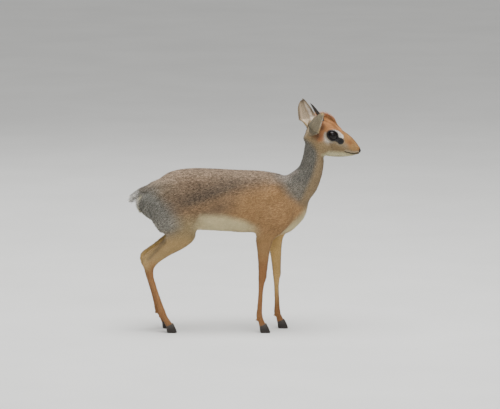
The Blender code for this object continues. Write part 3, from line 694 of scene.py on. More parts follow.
def body_markings(at, colours):
    """Colours of the neck, torso and legs, and how grizzled each point is."""
    x, level = at.x, at.level
    made = covered(colours.back, len(x))
    from_edge = level - np.interp(x, *FLANK_EDGE)
    flank = step(0.026, -0.024, from_edge)
    saddle = bell(from_edge - 0.026, 0.024) * step(-0.19, -0.12, x)
    made = blend(made, 0.68 * saddle * step(0.05, -0.06, x), colours.saddle)
    made = blend(made, flank, colours.flank)
    umber = step(0.015, -0.065, x) * step(-0.075, -0.01, from_edge)
    made = blend(made, umber * flank, UMBER)
    # Painted shade low on the shoulder, by the elbow.
    painted_elbow_shade = spot(x, at.z, (0.055, 0.262), (0.032, 0.024))
    made = blend(made, 0.75 * painted_elbow_shade * step(-0.2, 0.2, at.side - 0.02), ELBOW_PAINTED_SHADE)
    # Painted light on the parts that face up, here the top of the back.
    lit = step(0.35, 0.90, at.facing[:, 2])
    made = blend(made, 0.45 * lit, BACK_PAINTED_LIGHT)
    rump = step(0.030, -0.024, x - np.interp(level, *RUMP_EDGE)) * step(0.385, 0.335, level)
    thigh = step(-0.105, -0.125, x) * step(0.300, 0.262, level)
    made = blend(made, thigh, colours.thigh)
    made = blend(made, rump, colours.rump)
    made = blend(made, 0.35 * rump * step(0.300, 0.270, level), LOW_RUMP)
    croup = spot(x, level, (-0.200, 0.352), (0.036, 0.022))
    made = made * (1 + croup[:, None] * np.array(CROUP_GAIN))
    on_neck = step(-0.026, 0.020, x - np.interp(level, *WITHERS_EDGE)) * step(0.306, 0.334, level)
    made = blend(made, on_neck, colours.neck)
    # Painted light on the top of the neck.
    made = blend(made, 0.38 * lit * on_neck * (level < 0.40), NECK_PAINTED_LIGHT)
    made = blend(made, 0.4 * on_neck * step(0.385, 0.345, level), LOW_NECK)
    tan = step(-0.009, 0.007, x - np.interp(level, *THROAT_EDGE)) * step(0.300, 0.330, level)
    made = blend(made, tan, colours.throat)
    # Cream of the belly, between the forelegs and up the brisket
    belly = step(0.012, -0.010, level - np.interp(x, *CREAM_EDGE))
    belly = belly * step(-0.145, -0.090, x) * step(0.048, 0.000, x)
    brisket = step(0.020, 0.008, line_distance(x, level, BRISKET)) * step(0.330, 0.285, level)
    brisket = brisket * step(0.010, -0.008, at.side - np.interp(level, *BIB_EDGE))
    under = step(-0.55, -0.80, at.facing[:, 2]) * (at.z > 0.215) * (at.x > -0.17)
    belly = np.maximum(np.maximum(belly, brisket), under)
    made = blend(made, belly, colours.belly)
    grizzle = np.maximum(1 - 0.55 * flank, np.maximum(on_neck, rump)) * (1 - 0.6 * tan)
    grizzle = grizzle * (1 - 0.85 * belly)
    made, grizzle = leg_markings(at, colours, made, grizzle)
    under_tail = step(-0.245, -0.257, x) * step(0.345, 0.330, at.z) * step(0.24, 0.27, at.z)
    made = blend(made, 0.5 * under_tail * step(0.02, 0.01, at.side), colours.belly)
    made = blend(made, at.tail * step(-0.256, -0.266, x), TAIL_TIP)
    return made, grizzle


def leg_markings(at, colours, made, grizzle):
    """Adds the legs: tan above and rust below, pale inside, dark just over the hooves."""
    z = at.z
    inward = step(0.15, 0.65, -at.facing[:, 1] * np.sign(at.y))
    fore = at.foreleg
    made = blend(made, fore, np.array(colours.flank[:]) * (0.88, 0.88, 0.82))
    made = blend(made, fore * step(0.215, 0.150, z), np.array(colours.rust[:]) * (0.86, 0.82, 0.78))
    made = blend(made, fore * inward * step(0.045, 0.120, z) * 0.85, colours.inside)
    hind = at.hindleg
    behind = step(-0.006, 0.010, np.interp(z, (0.16, 0.25), (-0.245, -0.185)) - at.x)
    made = blend(made, hind, colours.shank)
    made = blend(made, hind * behind * step(0.215, 0.250, z), colours.rump)
    made = blend(made, hind * step(0.190, 0.150, z), colours.rust)
    hock = line_distance(at.x, z, HOCK)
    made = blend(made, 0.65 * hind * step(0.018, 0.000, hock), HOCK_TAN)
    # Painted shade in the groove before the tendon.
    groove = line_distance(at.x, z, SHANK_GROOVE_SHADE)
    made = blend(made, 0.50 * hind * step(0.0085, 0.0005, groove), colours.saddle)
    made = blend(made, hind * inward * step(0.10, 0.19, z) * 0.7, colours.inside)
    made = blend(made, 0.55 * step(0.030, 0.018, z), PASTERN)
    return made, mixed(grizzle, 0.22, np.maximum(fore, hind))


def markings(points, facing):
    """(colour, grizzle, bareness) at points of the animal that face those ways."""
    colours = settings().colours
    at = Places(points, facing)
    face, face_grizzle, bare = face_markings(at, colours)
    body, body_grizzle = body_markings(at, colours)
    colour = mixed(body, face, at.head[:, None])
    return colour, mixed(body_grizzle, face_grizzle, at.head), bare * at.head


def lie_of_coat(points):
    """The way that the hair lies at each point: from the nose back, down the neck, and tailward."""
    at = Places(points)
    down_neck = step(0.36, 0.43, at.z)[:, None]
    neck_way = mixed(np.array((-0.70, 0.0, -0.70)), np.array((-0.15, 0, -1)), down_neck)
    below = step(0.195, 0.165, at.z)[:, None]
    hind_way = mixed(np.array((-0.55, 0.0, -0.80)), np.array((0.25, 0.0, -0.97)), below)
    lie = covered((-1.0, 0.0, -0.22), len(points))
    for share, way in (
        (step(-0.17, -0.235, at.x), (-0.45, 0.0, -0.90)),
        (step(0.085, 0.125, at.x) * step(0.36, 0.32, at.z), (-0.55, 0.0, -0.80)),
        (at.neck, neck_way),
        (at.foreleg, (-0.10, 0.0, -1.0)),
        (at.hindleg, hind_way),
        (at.tail, (-0.86, 0.0, -0.50)),
        (at.head, head_turn() @ Vector((-1, 0, -0.10))),
    ):
        lie = mixed(lie, np.array(way), share[:, None])
    return lie / np.linalg.norm(lie, axis=1)[:, None]


# Skin


def head_forms():
    """The head from its sections and masses, fine enough that no facet shows."""
    rows = curved(HEAD, 6)
    bm = bmesh.new()
    rings = []
    for along, middle, above, below, wide in rows:
        ring = []
        for k in range(HEAD_SIDES):
            turn = 2 * math.pi * k / HEAD_SIDES
            u, v = math.cos(turn), math.sin(turn)
            u = math.copysign(abs(u) ** HEAD_ROUNDNESS, u) * wide
            v = math.copysign(abs(v) ** HEAD_ROUNDNESS, v) * (above if v > 0 else below)
            ring.append(bm.verts.new(HEAD_FRAME @ Vector((along, u, middle + v))))
        rings.append(ring)
    join_rings(bm, rings)
    face_outward(bm)
    forms = [object_from_bmesh(bm, "form")]
    for centre, radii, pitch in HEAD_MASSES:
        for side in (-1, 1):
            place = Matrix.Translation((centre[0], side * centre[1], centre[2]))
            place = place @ Matrix.Rotation(math.radians(-pitch), 4, "Y")
            forms.append(ball(HEAD_FRAME @ place, radii))
    for side, (base, tip, _) in EARS.items():
        base, tip = Vector(base) + SHIFT, Vector(tip) + SHIFT
        axis = (tip - base).normalized()
        turn = axis.to_track_quat("Z", "Y").to_matrix().to_4x4()
        place = Matrix.Translation(base + axis * EAR_ROOT_REACH) @ turn
        forms.append(ball(place, EAR_ROOT_RADII))
    return forms


def ball(matrix, radii):
    """An ellipsoid, as one of the forms that the skin is gathered from."""
    bm = bmesh.new()
    bmesh.ops.create_uvsphere(bm, u_segments=32, v_segments=20, radius=1)
    bm.transform(matrix @ Matrix.Diagonal((*radii, 1)))
    face_outward(bm)
    return object_from_bmesh(bm, "form")


def copy_of_node(node):
    bm = bmesh.new()
    bm.from_mesh(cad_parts[node].data)
    bmesh.ops.remove_doubles(bm, verts=bm.verts, dist=0.00002)
    return object_from_bmesh(bm, "form")


def gathered(name, objects):
    bm = bmesh.new()
    for obj in objects:
        bm.from_mesh(obj.data)
    for obj in objects:
        bpy.data.objects.remove(obj)
    return object_from_bmesh(bm, name)


def neighbours(mesh):
    """Both ends of each edge, and how many neighbours each vertex has."""
    edges = np.zeros(len(mesh.edges) * 2, np.int64)
    mesh.edges.foreach_get("vertices", edges)
    first, second = edges.reshape(-1, 2).T
    count = np.bincount(np.concatenate((first, second)), minlength=len(mesh.vertices))
    return first, second, count


def neighbour_mean(values, first, second, count):
    mean = np.empty_like(values)
    for axis in range(values.shape[1]):
        total = np.bincount(first, values[second, axis], len(values))
        total += np.bincount(second, values[first, axis], len(values))
        mean[:, axis] = total / count
    return mean


def evened(mesh, points, rounds):
    """Smooths without shrinking: each round pulls in, then pushes out a little more."""
    ends = neighbours(mesh)
    for _ in range(rounds):
        for amount in (0.55, -0.57):
            points = points + (neighbour_mean(points, *ends) - points) * amount
    return points


def diffused(mesh, values, rounds):
    """Values of the vertices, each mixed with its neighbours' so many times."""
    ends = neighbours(mesh)
    for _ in range(rounds):
        values = (values + neighbour_mean(values, *ends)) / 2
    return values


# Creases of the body that are filled: where each is, and how far round it.
CREASES = (
    ((-0.215, 0.366), 0.036),
    ((-0.118, 0.252), 0.020),
    ((0.020, 0.250), 0.016),
    ((-0.200, 0.238), 0.017),
)
CREASE_ROUNDS = 90


def filleted(mesh, points):
    """Fills the creases where the neck, the tail and the thighs meet the torso."""
    at = Places(points)
    neck = past_plane(at.x, at.z, NECK_PLANE)
    share = 0.9 * bell(neck + 0.008, 0.026) * (1 - at.head)
    for (x, z), reach in CREASES:
        share = np.maximum(share, 0.85 * np.exp(-(((at.x - x) ** 2 + (at.z - z) ** 2) / reach**2)))
    soft = diffused(mesh, points, CREASE_ROUNDS)
    return points + (soft - points) * share[:, None]


def refine(obj, chosen):
    """Splits the faces round the chosen vertices once."""
    bm = bmesh.new()
    bm.from_mesh(obj.data)
    bm.verts.ensure_lookup_table()
    near = set(np.flatnonzero(chosen).tolist())
    edges = [e for e in bm.edges if e.verts[0].index in near and e.verts[1].index in near]
    bmesh.ops.subdivide_edges(bm, edges=edges, cuts=1, use_grid_fill=True, smooth=0.6)
    bmesh.ops.triangulate(bm, faces=[f for f in bm.faces if len(f.verts) > 4])
    bm.to_mesh(obj.data)
    bm.free()


# Under the lids the skin is drawn in within this reach of the eye's axis, and above this depth.
SOCKET_REACH = 0.0165
SOCKET_DEPTH = -0.004


def sink_eyes(points):
    """Draws the skin in under each lid, so that the ball of the eye shows."""
    for side, _ in SIDES:
        matrix = eye_frame(side)
        local = transformed(points, matrix.inverted())
        reach = np.hypot(local[:, 0], local[:, 1])
        near = (reach < SOCKET_REACH) & (local[:, 2] > SOCKET_DEPTH)
        most = 0.0020 + 0.03 * step(0.0128, 0.0175, reach)
        local[near, 2] = np.minimum(local[near, 2], most[near])
        points[near] = transformed(local[near], matrix)
    return points


# Relief of the face, along and over the head: ellipses by centre, radii and turn, and lines.
NOSTRIL_PITS = (
    ((0.1352, 0.0002), (0.0034, 0.0016), -0.5, 0.0026),
    ((0.1318, 0.0016), (0.0022, 0.0010), -0.9, 0.0014),
)
NOSTRIL_WING = ((0.1330, 0.0010), (0.0052, 0.0036), -0.5)
GLAND_RIM = ((0.0795, 0.0068), (0.0075, 0.0052), -0.5)
GLAND_SLIT = ((0.0765, 0.0080), (0.0830, 0.0050))
JAW_LINE = ((0.030, -0.020), (0.058, -0.022), (0.090, -0.016))
# Hollows and swellings of the body: a line along and up, its half width, and how far it stands out.
BODY_HOLLOWS = (
    (((0.100, 0.340), (0.070, 0.300), (0.020, 0.262)), 0.009, -0.0009),
    (((-0.010, 0.330), (-0.020, 0.285), (0.005, 0.258)), 0.012, -0.0011),
    (((-0.125, 0.340), (-0.118, 0.290), (-0.125, 0.258)), 0.012, -0.0012),
    (((-0.215, 0.330), (-0.200, 0.280), (-0.195, 0.250)), 0.010, -0.0008),
    (((-0.150, 0.372), (-0.200, 0.360)), 0.010, 0.0007),
)
# The groove before the tendon above each hock, along and up.
TENDON_GROOVE = ((-0.203, 0.222), (-0.234, 0.184))


def sculpt_face(points, facing):
    """The line of the mouth, the lips, the nostrils, the gland and small folds of the head."""
    at = Places(points, facing)
    lip = line_distance(at.along, at.over, MOUTH_LINE)
    mouth = step(0.100, 0.106, at.along) * at.head
    move = -0.0013 * bell(lip, 0.0009) * mouth
    move += 0.0005 * bell(lip - 0.0023, 0.0013) * mouth
    for centre, radii, turn, deep in NOSTRIL_PITS:
        pit = ellipse(at.along, at.over, centre, radii, turn)
        move -= deep * np.exp(-(pit**2)) * (at.across > 0.0025) * at.head
    wing = ellipse(at.along, at.over, *NOSTRIL_WING)
    move += 0.0007 * bell(wing - 1, 0.35) * (at.across > 0.002) * at.head
    aside = (at.across > SIDE_OF_FACE) * at.head
    gland = ellipse(at.along, at.over, *GLAND_RIM)
    move += 0.0008 * bell(gland - 0.9, 0.4) * aside
    slit = line_distance(at.along, at.over, GLAND_SLIT)
    move -= 0.0016 * bell(slit, 0.0011) * aside
    jaw = line_distance(at.along, at.over, JAW_LINE)
    move -= 0.0005 * bell(jaw, 0.0035) * aside
    return points + facing * move[:, None]


def sculpt_body(points, facing):
    """Soft hollows over shoulder, flank and thigh, and the groove before the tendon of each hock."""
    at = Places(points, facing)
    torso = (1 - at.head) * (1 - at.neck)
    move = np.zeros(len(points))
    for line, wide, deep in BODY_HOLLOWS:
        move += deep * bell(line_distance(at.x, at.z, line), wide) * torso
    groove = line_distance(at.x, at.z, TENDON_GROOVE)
    move -= 0.0014 * bell(groove, 0.0032) * (at.x < -0.19)
    return points + facing * move[:, None]


# Depth of the coat on the broad upper parts of the legs.
UPPER_LEG_DEPTH = 0.0018


def coat_depth(at):
    """How far the skin lies under the solids at each point."""
    shape = settings().shape
    legs = np.maximum(at.foreleg, at.hindleg)
    slim = step(0.235, 0.190, at.z)
    depth = mixed(shape.body_depth, shape.face_depth, at.head)
    return mixed(depth, mixed(UPPER_LEG_DEPTH, shape.leg_depth, slim), legs)


def skin_shader():
    shader = Shader("dik_dik_skin", 0.85)
    marking = shader.attribute("marking", "Color")
    strands = shader.noise(900, 2.0, shader.place((1, 1, 0.35)))
    # Painted shade: the marking is darkened in fine streaks, as under the hair of the coat.
    shade = shader.span(strands, 0.3, 0.7, 0.35, 0.85)
    shader.set("Base Color", shader.mix(1.0, marking, shader.grey(shade), "MULTIPLY"))
    bare = shader.attribute("bare")
    shader.set("Roughness", shader.span(bare, 0.0, 1.0, 0.85, 0.42))
    shader.set("Specular IOR Level", 0.3)
    pebbles = shader.noise(2600, 1.0)
    shader.bump(strands * (1 - bare) + pebbles * bare * 0.5, 0.0006, 0.6)
    return shader.material


MUZZLE_STARTS = 0.097


def build_skin():
    """One closed skin, evened and filleted, refined at the face, drawn in for the coat, then sculpted."""
    shape = settings().shape
    forms = head_forms()
    forms += [copy_of_node(node) for node in FLESH if node != "head"]
    skin = gathered("skin", forms)
    remesh = skin.modifiers.new("Remesh", "REMESH")
    remesh.mode = "VOXEL"
    remesh.voxel_size = shape.voxel
    baked(skin)
    mesh = skin.data
    points = positions(mesh)
    face = Places(points).head > 0.3
    points = filleted(mesh, evened(mesh, points, shape.smoothing))
    set_positions(mesh, points)
    refine(skin, face)
    points = positions(mesh)
    at = Places(points)
    refine(skin, (at.along > MUZZLE_STARTS) & (at.head > 0.9))
    points = evened(mesh, positions(mesh), 3)
    set_positions(mesh, points)
    points = points - normals(mesh) * coat_depth(Places(points))[:, None]
    set_positions(mesh, points)
    points = sculpt_body(points, normals(mesh))
    points = sculpt_face(points, normals(mesh))
    points = sink_eyes(points)
    set_positions(mesh, points)
    unwrap(skin)
    describe_surface(mesh, positions(mesh), normals(mesh))
    finished(smooth_shaded(skin), skin_shader(), "body_coat", *FLESH)


def unwrap(obj):
    """An unwrap of the surface's own shape, which the coat's colours are placed by."""
    for other in bpy.context.selected_objects:
        other.select_set(False)
    bpy.context.view_layer.objects.active = obj
    obj.select_set(True)
    obj.data.uv_layers.new(name="OFBake")
    bpy.ops.object.mode_set(mode="EDIT")
    bpy.ops.mesh.select_all(action="SELECT")
    bpy.ops.uv.smart_project(angle_limit=math.radians(66), island_margin=0.002)
    bpy.ops.object.mode_set(mode="OBJECT")
    obj.select_set(False)


LIE_ROUNDS = 60
# Hair of the neck as a share of the body's.
NECK_HAIR = 0.78
# Lengths of tufts, and the width that goes with each.
TUFT_WIDTHS = ((0.0, 0.0034, 0.0095), (0.0004, 0.0007, 0.00115))


def describe_surface(mesh, points, facing):
    """Attributes that the skin's shader and the tufts read."""
    at = Places(points, facing)
    colour, grizzle, bare = markings(points, facing)
    lie = diffused(mesh, lie_of_coat(points), LIE_ROUNDS)
    lie = lie / np.linalg.norm(lie, axis=1)[:, None]
    legs = np.maximum(at.foreleg, at.hindleg) * step(0.245, 0.200, at.z)
    length = tuft_length(at, legs, bare)
    tip = np.arcsin(np.clip((facing * lie).sum(axis=1), 0, 1))
    lift = np.maximum(0.20 - 0.06 * legs - 0.04 * at.head, 0.95 * tip * (at.tail > 0.3))
    describe(mesh, marking=colour, grizzle=grizzle, lie=lie, bare=bare, tuft_length=length)
    width = np.interp(length, *TUFT_WIDTHS)
    describe(mesh, tuft_width=width, tuft_lift=lift, cover=coat_cover(at, points, bare))


def tuft_length(at, legs, bare):
    """Length of the hair: short on face and legs, longer at tail and hooves and between the horns."""
    coat = settings().coat
    length = mixed(coat.body_length, NECK_HAIR * coat.body_length, at.neck)
    length = mixed(length, coat.leg_length, legs)
    length = mixed(length, coat.face_length, at.head)
    length *= 1 + 0.55 * at.tail * step(-0.258, -0.272, at.x)
    length *= 1 - 0.35 * step(0.060, 0.030, at.z)
    length *= 1 + 1.1 * step(0.030, 0.021, at.z)
    length *= 1 - 0.45 * at.head * step(0.095, 0.120, at.along)
    length *= 1 + 0.6 * at.head * step(0.060, 0.030, at.along) * step(0.020, 0.035, at.over)
    length *= 1 - 0.75 * bare
    near_eye = at.head * step(0.012, 0.002, black_of_face(at)) * (at.across > SIDE_OF_FACE)
    return length * (1 - 0.5 * near_eye)


def coat_cover(at, points, bare):
    """How densely each point is covered: not at all on eyes, nose and hooves."""
    cover = 1 - 0.75 * bare
    for side, _ in SIDES:
        local = transformed(points, eye_frame(side).inverted())
        reach = np.hypot(local[:, 0], local[:, 1])
        cover *= 1 - (step(0.0150, 0.0140, reach) * (local[:, 2] > -0.005))
    cover *= step(0.0150, 0.0172, at.z)
    cover *= 1 - at.head * step(0.1330, 0.1345, at.along) * step(-0.009, -0.006, at.over)
    return cover


# Eyes


# Rows of the lids: how far out from the opening, and how far from the middle of the ball.
LID_ROWS = (
    (-0.0004, 0.01380),
    (0.0000, 0.01425),
    (0.0003, 0.01480),
    (0.0007, 0.01525),
    (0.0012, 0.01550),
)
LID_ROWS += tuple((out, LID_RADIUS) for out in (0.0017, 0.0023, 0.0029, 0.0036, 0.0043, 0.0050, 0.0060))
LID_SIDES = 96
# Lashes: 1 for the upper lid and -1 for the lower, how many, and how long.
LASHES = ((1, 58, 0.0052), (-1, 22, 0.0024))
LASH_SEED = 5
LASH_WIDTH = 0.00028
# Degrees from the front corner of the eye where lashes start, and how far round they go.
LASHES_START = 18
LASHES_SPAN = 144
# Lashes grow this far from the middle of the ball.
LASH_RADIUS = 0.0149


def opening_point(turn, out):
    """A point of the almond between the lids, moved outward."""
    x = math.cos(turn) * EYE_OPENING[0]
    y = math.copysign(abs(math.sin(turn)) ** 1.2, math.sin(turn)) * EYE_OPENING[1]
    grow = 1 + out / math.hypot(x, y)
    return x * grow, y * grow


# The clear front of the eye: how much it stands out, and over what reach. Then half sizes of the pupil.
CORNEA_SHARE = 0.030
CORNEA_REACH = 0.0075
PUPIL = (0.0062, 0.0043)


def eyeball(side, label):
    matrix = eye_frame(side)
    bm = bmesh.new()
    bmesh.ops.create_uvsphere(bm, u_segments=64, v_segments=48, radius=EYE_RADIUS)
    reach = []
    for vert in bm.verts:
        x, y, z = vert.co
        out = math.hypot(x, y)
        if z > 0:
            vert.co *= 1 + CORNEA_SHARE * math.exp(-((out / CORNEA_REACH) ** 4))
        pupil = math.hypot(x / PUPIL[0], y / PUPIL[1])
        reach.append((pupil, out, z))
    face_outward(bm)
    bm.transform(matrix)
    obj = object_from_bmesh(bm, f"eyeball_{label}")
    pupil, out, z = np.array(reach).T
    iris = step(0.0098, 0.0084, out) * step(0.8, 1.15, pupil) * (z > 0)
    describe(obj.data, iris=iris)
    return smooth_shaded(obj)


def eye_shader():
    shader = Shader("dik_dik_eye", 0.08)
    iris = shader.attribute("iris")
    rays = shader.span(shader.noise(700, 2.0), 0.3, 0.7)
    brown = shader.mix(rays, (0.004, 0.0030, 0.002), (0.011, 0.0065, 0.0040))
    shader.set("Base Color", shader.mix(iris, (0.0035, 0.003, 0.003), brown))
    shader.set("Specular IOR Level", 0.22)
    return shader.material


def lid_ring(side, label, skin_tree):
    """Both lids as one ring, from the wet edge by the ball out to where it dips under the skin."""
    matrix = eye_frame(side)
    inverse = matrix.inverted()
    inward = matrix.to_3x3() @ Vector((0, 0, -1))
    bm = bmesh.new()
    rings = []
    for out, radius in LID_ROWS:
        ring = []
        for k in range(LID_SIDES):
            turn = 2 * math.pi * k / LID_SIDES
            x, y = opening_point(turn, out)
            height = math.sqrt(max(0, radius**2 - x * x - y * y))
            if out > 0.001:
                hit = skin_tree.ray_cast(matrix @ Vector((x, y, 0.03)), inward, 0.05)[0]
                ground = (inverse @ hit).z if hit else 0
                ground -= float(np.interp(out, (0.0020, 0.0060), (0.0, 0.0016)))
                apart = math.hypot(height - ground, 0.0007)
                height = (height + ground + apart) / 2
                fold = 0.0005 if math.sin(turn) > 0 else 0.00035
                height -= fold * math.exp(-(((out - 0.0021) / 0.0005) ** 2)) * abs(math.sin(turn))
            ring.append(bm.verts.new(matrix @ Vector((x, y, height))))
        rings.append(ring)
    join_rings(bm, rings, capped=False)
    bm.normal_update()
    middle = Vector(matrix.translation)
    if sum(f.normal.dot(f.calc_center_median() - middle) for f in bm.faces) < 0:
        bmesh.ops.reverse_faces(bm, faces=bm.faces)
    obj = object_from_bmesh(bm, f"lids_{label}")
    colour, _, bare = markings(positions(obj.data), normals(obj.data))
    describe(obj.data, marking=colour, bare=bare)
    return smooth_shaded(obj)


def ribbons(name, paths, width):
    """Thin tapering blades, each through its points, as one mesh."""
    bm = bmesh.new()
    for points, across in paths:
        last = len(points) - 1
        pairs = []
        for i, point in enumerate(points[:-1]):
            half = across * (width / 2 * (1 - 0.6 * i / last))
            pairs.append([bm.verts.new(point - half), bm.verts.new(point + half)])
        for first, second in zip(pairs, pairs[1:]):
            bm.faces.new((first[0], first[1], second[1], second[0]))
        bm.faces.new((pairs[-1][0], pairs[-1][1], bm.verts.new(points[-1])))
    return object_from_bmesh(bm, name)


def lashes():
    rand = np.random.default_rng(LASH_SEED)
    paths = []
    for side, _ in SIDES:
        matrix = eye_frame(side)
        for upper, count, length in LASHES:
            for i in range(count):
                share = (i + rand.uniform(-0.3, 0.3)) / (count - 1)
                turn = math.radians(LASHES_START + LASHES_SPAN * share) * upper
                x, y = opening_point(turn, 0.0005)
                root = Vector((x, y, math.sqrt(LASH_RADIUS**2 - x * x - y * y)))
                away = Vector((x * 0.75, y * 0.9, 0.010)).normalized()
                reach = length * rand.uniform(0.75, 1.15) * (0.65 + 0.35 * abs(math.sin(turn)))
                points = []
                for u in (0, 0.35, 0.7, 1):
                    curl = Vector((0, upper * 0.30 * u * u, 0))
                    points.append(matrix @ (root + (away * u + curl) * reach))
                across = matrix.to_3x3() @ Vector((-math.sin(turn), math.cos(turn) * 0.4, 0))
                paths.append((points, across.normalized()))
    return ribbons("lashes", paths, LASH_WIDTH)


def build_eyes(skin):
    eye = eye_shader()
    lid = skin_shader()
    skin_tree = BVHTree.FromObject(skin, bpy.context.evaluated_depsgraph_get())
    for side, label in SIDES:
        finished(eyeball(side, label), eye, "eye", f"eye_{label}")
        finished(lid_ring(side, label, skin_tree), lid, "head_coat")
    shader = Shader("dik_dik_lash", 0.5)
    shader.set("Base Color", (0.010, 0.008, 0.007))
    finished(lashes(), shader.material, "head_coat")


# Ears


EAR_ROWS = 60
EAR_HALF = 15
EAR_THICKNESS = 0.0014
# How far an ear bows at half its length, along the way that it faces.
EAR_BOW = -0.0030
# Each ear starts as a tube with this half width and half curl, and is open from this share of its length.
EAR_ROOT_WIDTH = 0.0125
EAR_ROOT_CURL = 135
EAR_OPENS = 0.45


def ear_leaf(side, label):
    """A thin leaf that curls round its own axis, with soft folds down the inside."""
    base, tip, opening = (Vector(v) for v in EARS[side])
    axis = (tip - base).normalized()
    face = (opening - axis * opening.dot(axis)).normalized()
    across = axis.cross(face)
    broad, open_curl, ahead, tuck, longer, squarer, trimmed = EAR_LEAVES[side]
    length = (tip - base).length * longer
    tuck = head_turn().to_3x3() @ Vector(tuck)
    bm = bmesh.new()
    rings, traits = [], []
    for i in range(EAR_ROWS + 1):
        u = i / EAR_ROWS
        width = 0.0012 + broad * math.sin(math.pi * u**0.72) ** (0.62 - squarer * u)
        width = max(width, EAR_ROOT_WIDTH) if u < 0.3 else width
        curl = EAR_ROOT_CURL - (EAR_ROOT_CURL - open_curl) * min(1, u / EAR_OPENS) ** 0.8
        curl = math.radians(curl)
        trim = trimmed * max(0, 1 - u / EAR_OPENS) ** 0.4
        radius = width / curl
        thick = EAR_THICKNESS * (1 - 0.45 * u)
        middle = base + SHIFT + axis * (length * u)
        middle += face * (EAR_BOW * math.sin(math.pi * u) - 0.0003)
        middle += tuck * max(0, 1 - u / 0.42) ** 1.2
        middle += across * (side * ahead * math.sin(math.pi * min(1, u / 0.9)))
        middle += LOOK * (EAR_STRAIGHTENED * face.y * (radius - EAR_ROOT_RADIUS))
        ring = []
        for inner in (False, True):
            for k in range(-EAR_HALF, EAR_HALF + 1)[:: -1 if inner else 1]:
                v = k / EAR_HALF
                turn = curl * v * (1 - trim if v * side > 0 else 1)
                spoke = across * math.sin(turn) - face * math.cos(turn)
                lean = thick / 2 * (1 - 0.55 * abs(v) ** 4)
                if inner:
                    fold = math.cos(9 * v) ** 2 * math.sin(math.pi * min(1, u * 1.1))
                    reach = radius - lean - 0.0004 * fold * (1 - abs(v))
                else:
                    reach = radius + lean
                ring.append(bm.verts.new(middle + spoke * reach))
                traits.append((u, v * side, inner))
        rings.append(ring)
    join_rings(bm, rings)
    bmesh.ops.triangulate(bm, faces=[f for f in bm.faces if len(f.verts) > 4])
    face_outward(bm)
    obj = object_from_bmesh(bm, f"ear_leaf_{label}")
    return smooth_shaded(obj), np.array(traits, float), np.array(axis), np.array(across) * side


EAR_FRINGE = (0.56, 0.49, 0.39)
EAR_MARGIN = (0.055, 0.042, 0.032)


def ear_markings(u, v, inner, colours):
    """Grey-olive behind, pinkish inside, with a dark margin and a white strip inside the front edge."""
    made = covered(colours.ear_back, len(u))
    made = blend(made, 0.75 * step(0.30, 0.05, u), colours.nape)
    rim = np.maximum(step(0.84, 0.97, np.abs(v)), step(0.93, 0.99, u))
    made = blend(made, 0.75 * rim * (1 - inner), colours.inside)
    fringe = step(0.78, 0.92, v) * np.maximum(step(0.55, 0.75, u), bell(u - 0.36, 0.07))
    made = blend(made, 0.85 * fringe * (1 - inner), EAR_FRINGE)
    made = blend(made, inner, colours.ear_inside)
    strip = step(0.45, 0.62, v) * step(0.92, 0.84, v) * step(0.12, 0.25, u) * step(0.92, 0.80, u)
    made = blend(made, 0.5 * inner * strip, colours.ring)
    made = blend(made, 0.6 * inner * step(0.16, 0.04, u), colours.bare)
    dark = step(0.90, 0.99, np.abs(v)) * step(0.25, 0.45, u)
    dark = np.maximum(dark, step(0.90, 0.985, u))
    return blend(made, 0.75 * inner * dark, EAR_MARGIN)


EAR_TUFTS = 2.6e6
EAR_SEED = 20


def build_ears():
    coat = settings().coat
    leaf_material = skin_shader()
    hair = coat_shader()
    tree = tuft_tree()
    blade = short_tuft_shape("ear_tuft")
    for side, label in SIDES:
        leaf, traits, axis, across = ear_leaf(side, label)
        u, v, inner = traits.T
        mesh = leaf.data
        unwrap(leaf)
        edge = step(0.40, 0.70, np.abs(v)) * inner
        length = 0.0030 + 0.0035 * edge + 0.0030 * edge * (v > 0)
        length *= 1 - 0.45 * step(0.70, 0.98, u)
        inward = -np.sign(v)[:, None] * across * (inner * 0.9)[:, None]
        colour = ear_markings(u, v, inner, settings().colours)
        cover = np.where(inner > 0, 0.10 + 0.75 * edge, 1.0) * step(0.04, 0.12, u)
        describe(mesh, marking=colour, bare=0.0, grizzle=0.35 * (1 - inner), lie=axis + inward)
        describe(mesh, tuft_length=length, tuft_width=0.0007, tuft_lift=0.16 + 0.16 * edge, cover=cover)
        surface = root_surface(mesh, np.zeros(len(u), int))
        values = tuft_values(blade, coat.cover * EAR_TUFTS, coat.seed + EAR_SEED + side, hair)
        finished(grown(tree, f"ear_hair_{label}", surface, values), hair, "ear")
        finished(leaf, leaf_material, "ear", f"ear_{label}")
    bpy.data.objects.remove(blade)


# Horns and hooves


HORN_STEPS = 110
HORN_SIDES = 28
HORN_RINGS = 5
# The rings fade out this share of the way up.
HORN_RINGED = 0.6
# Height of the rings at the horn's base, and how strongly the horn bends.
RING_HEIGHT = 0.0007
HORN_BEND = 0.0030


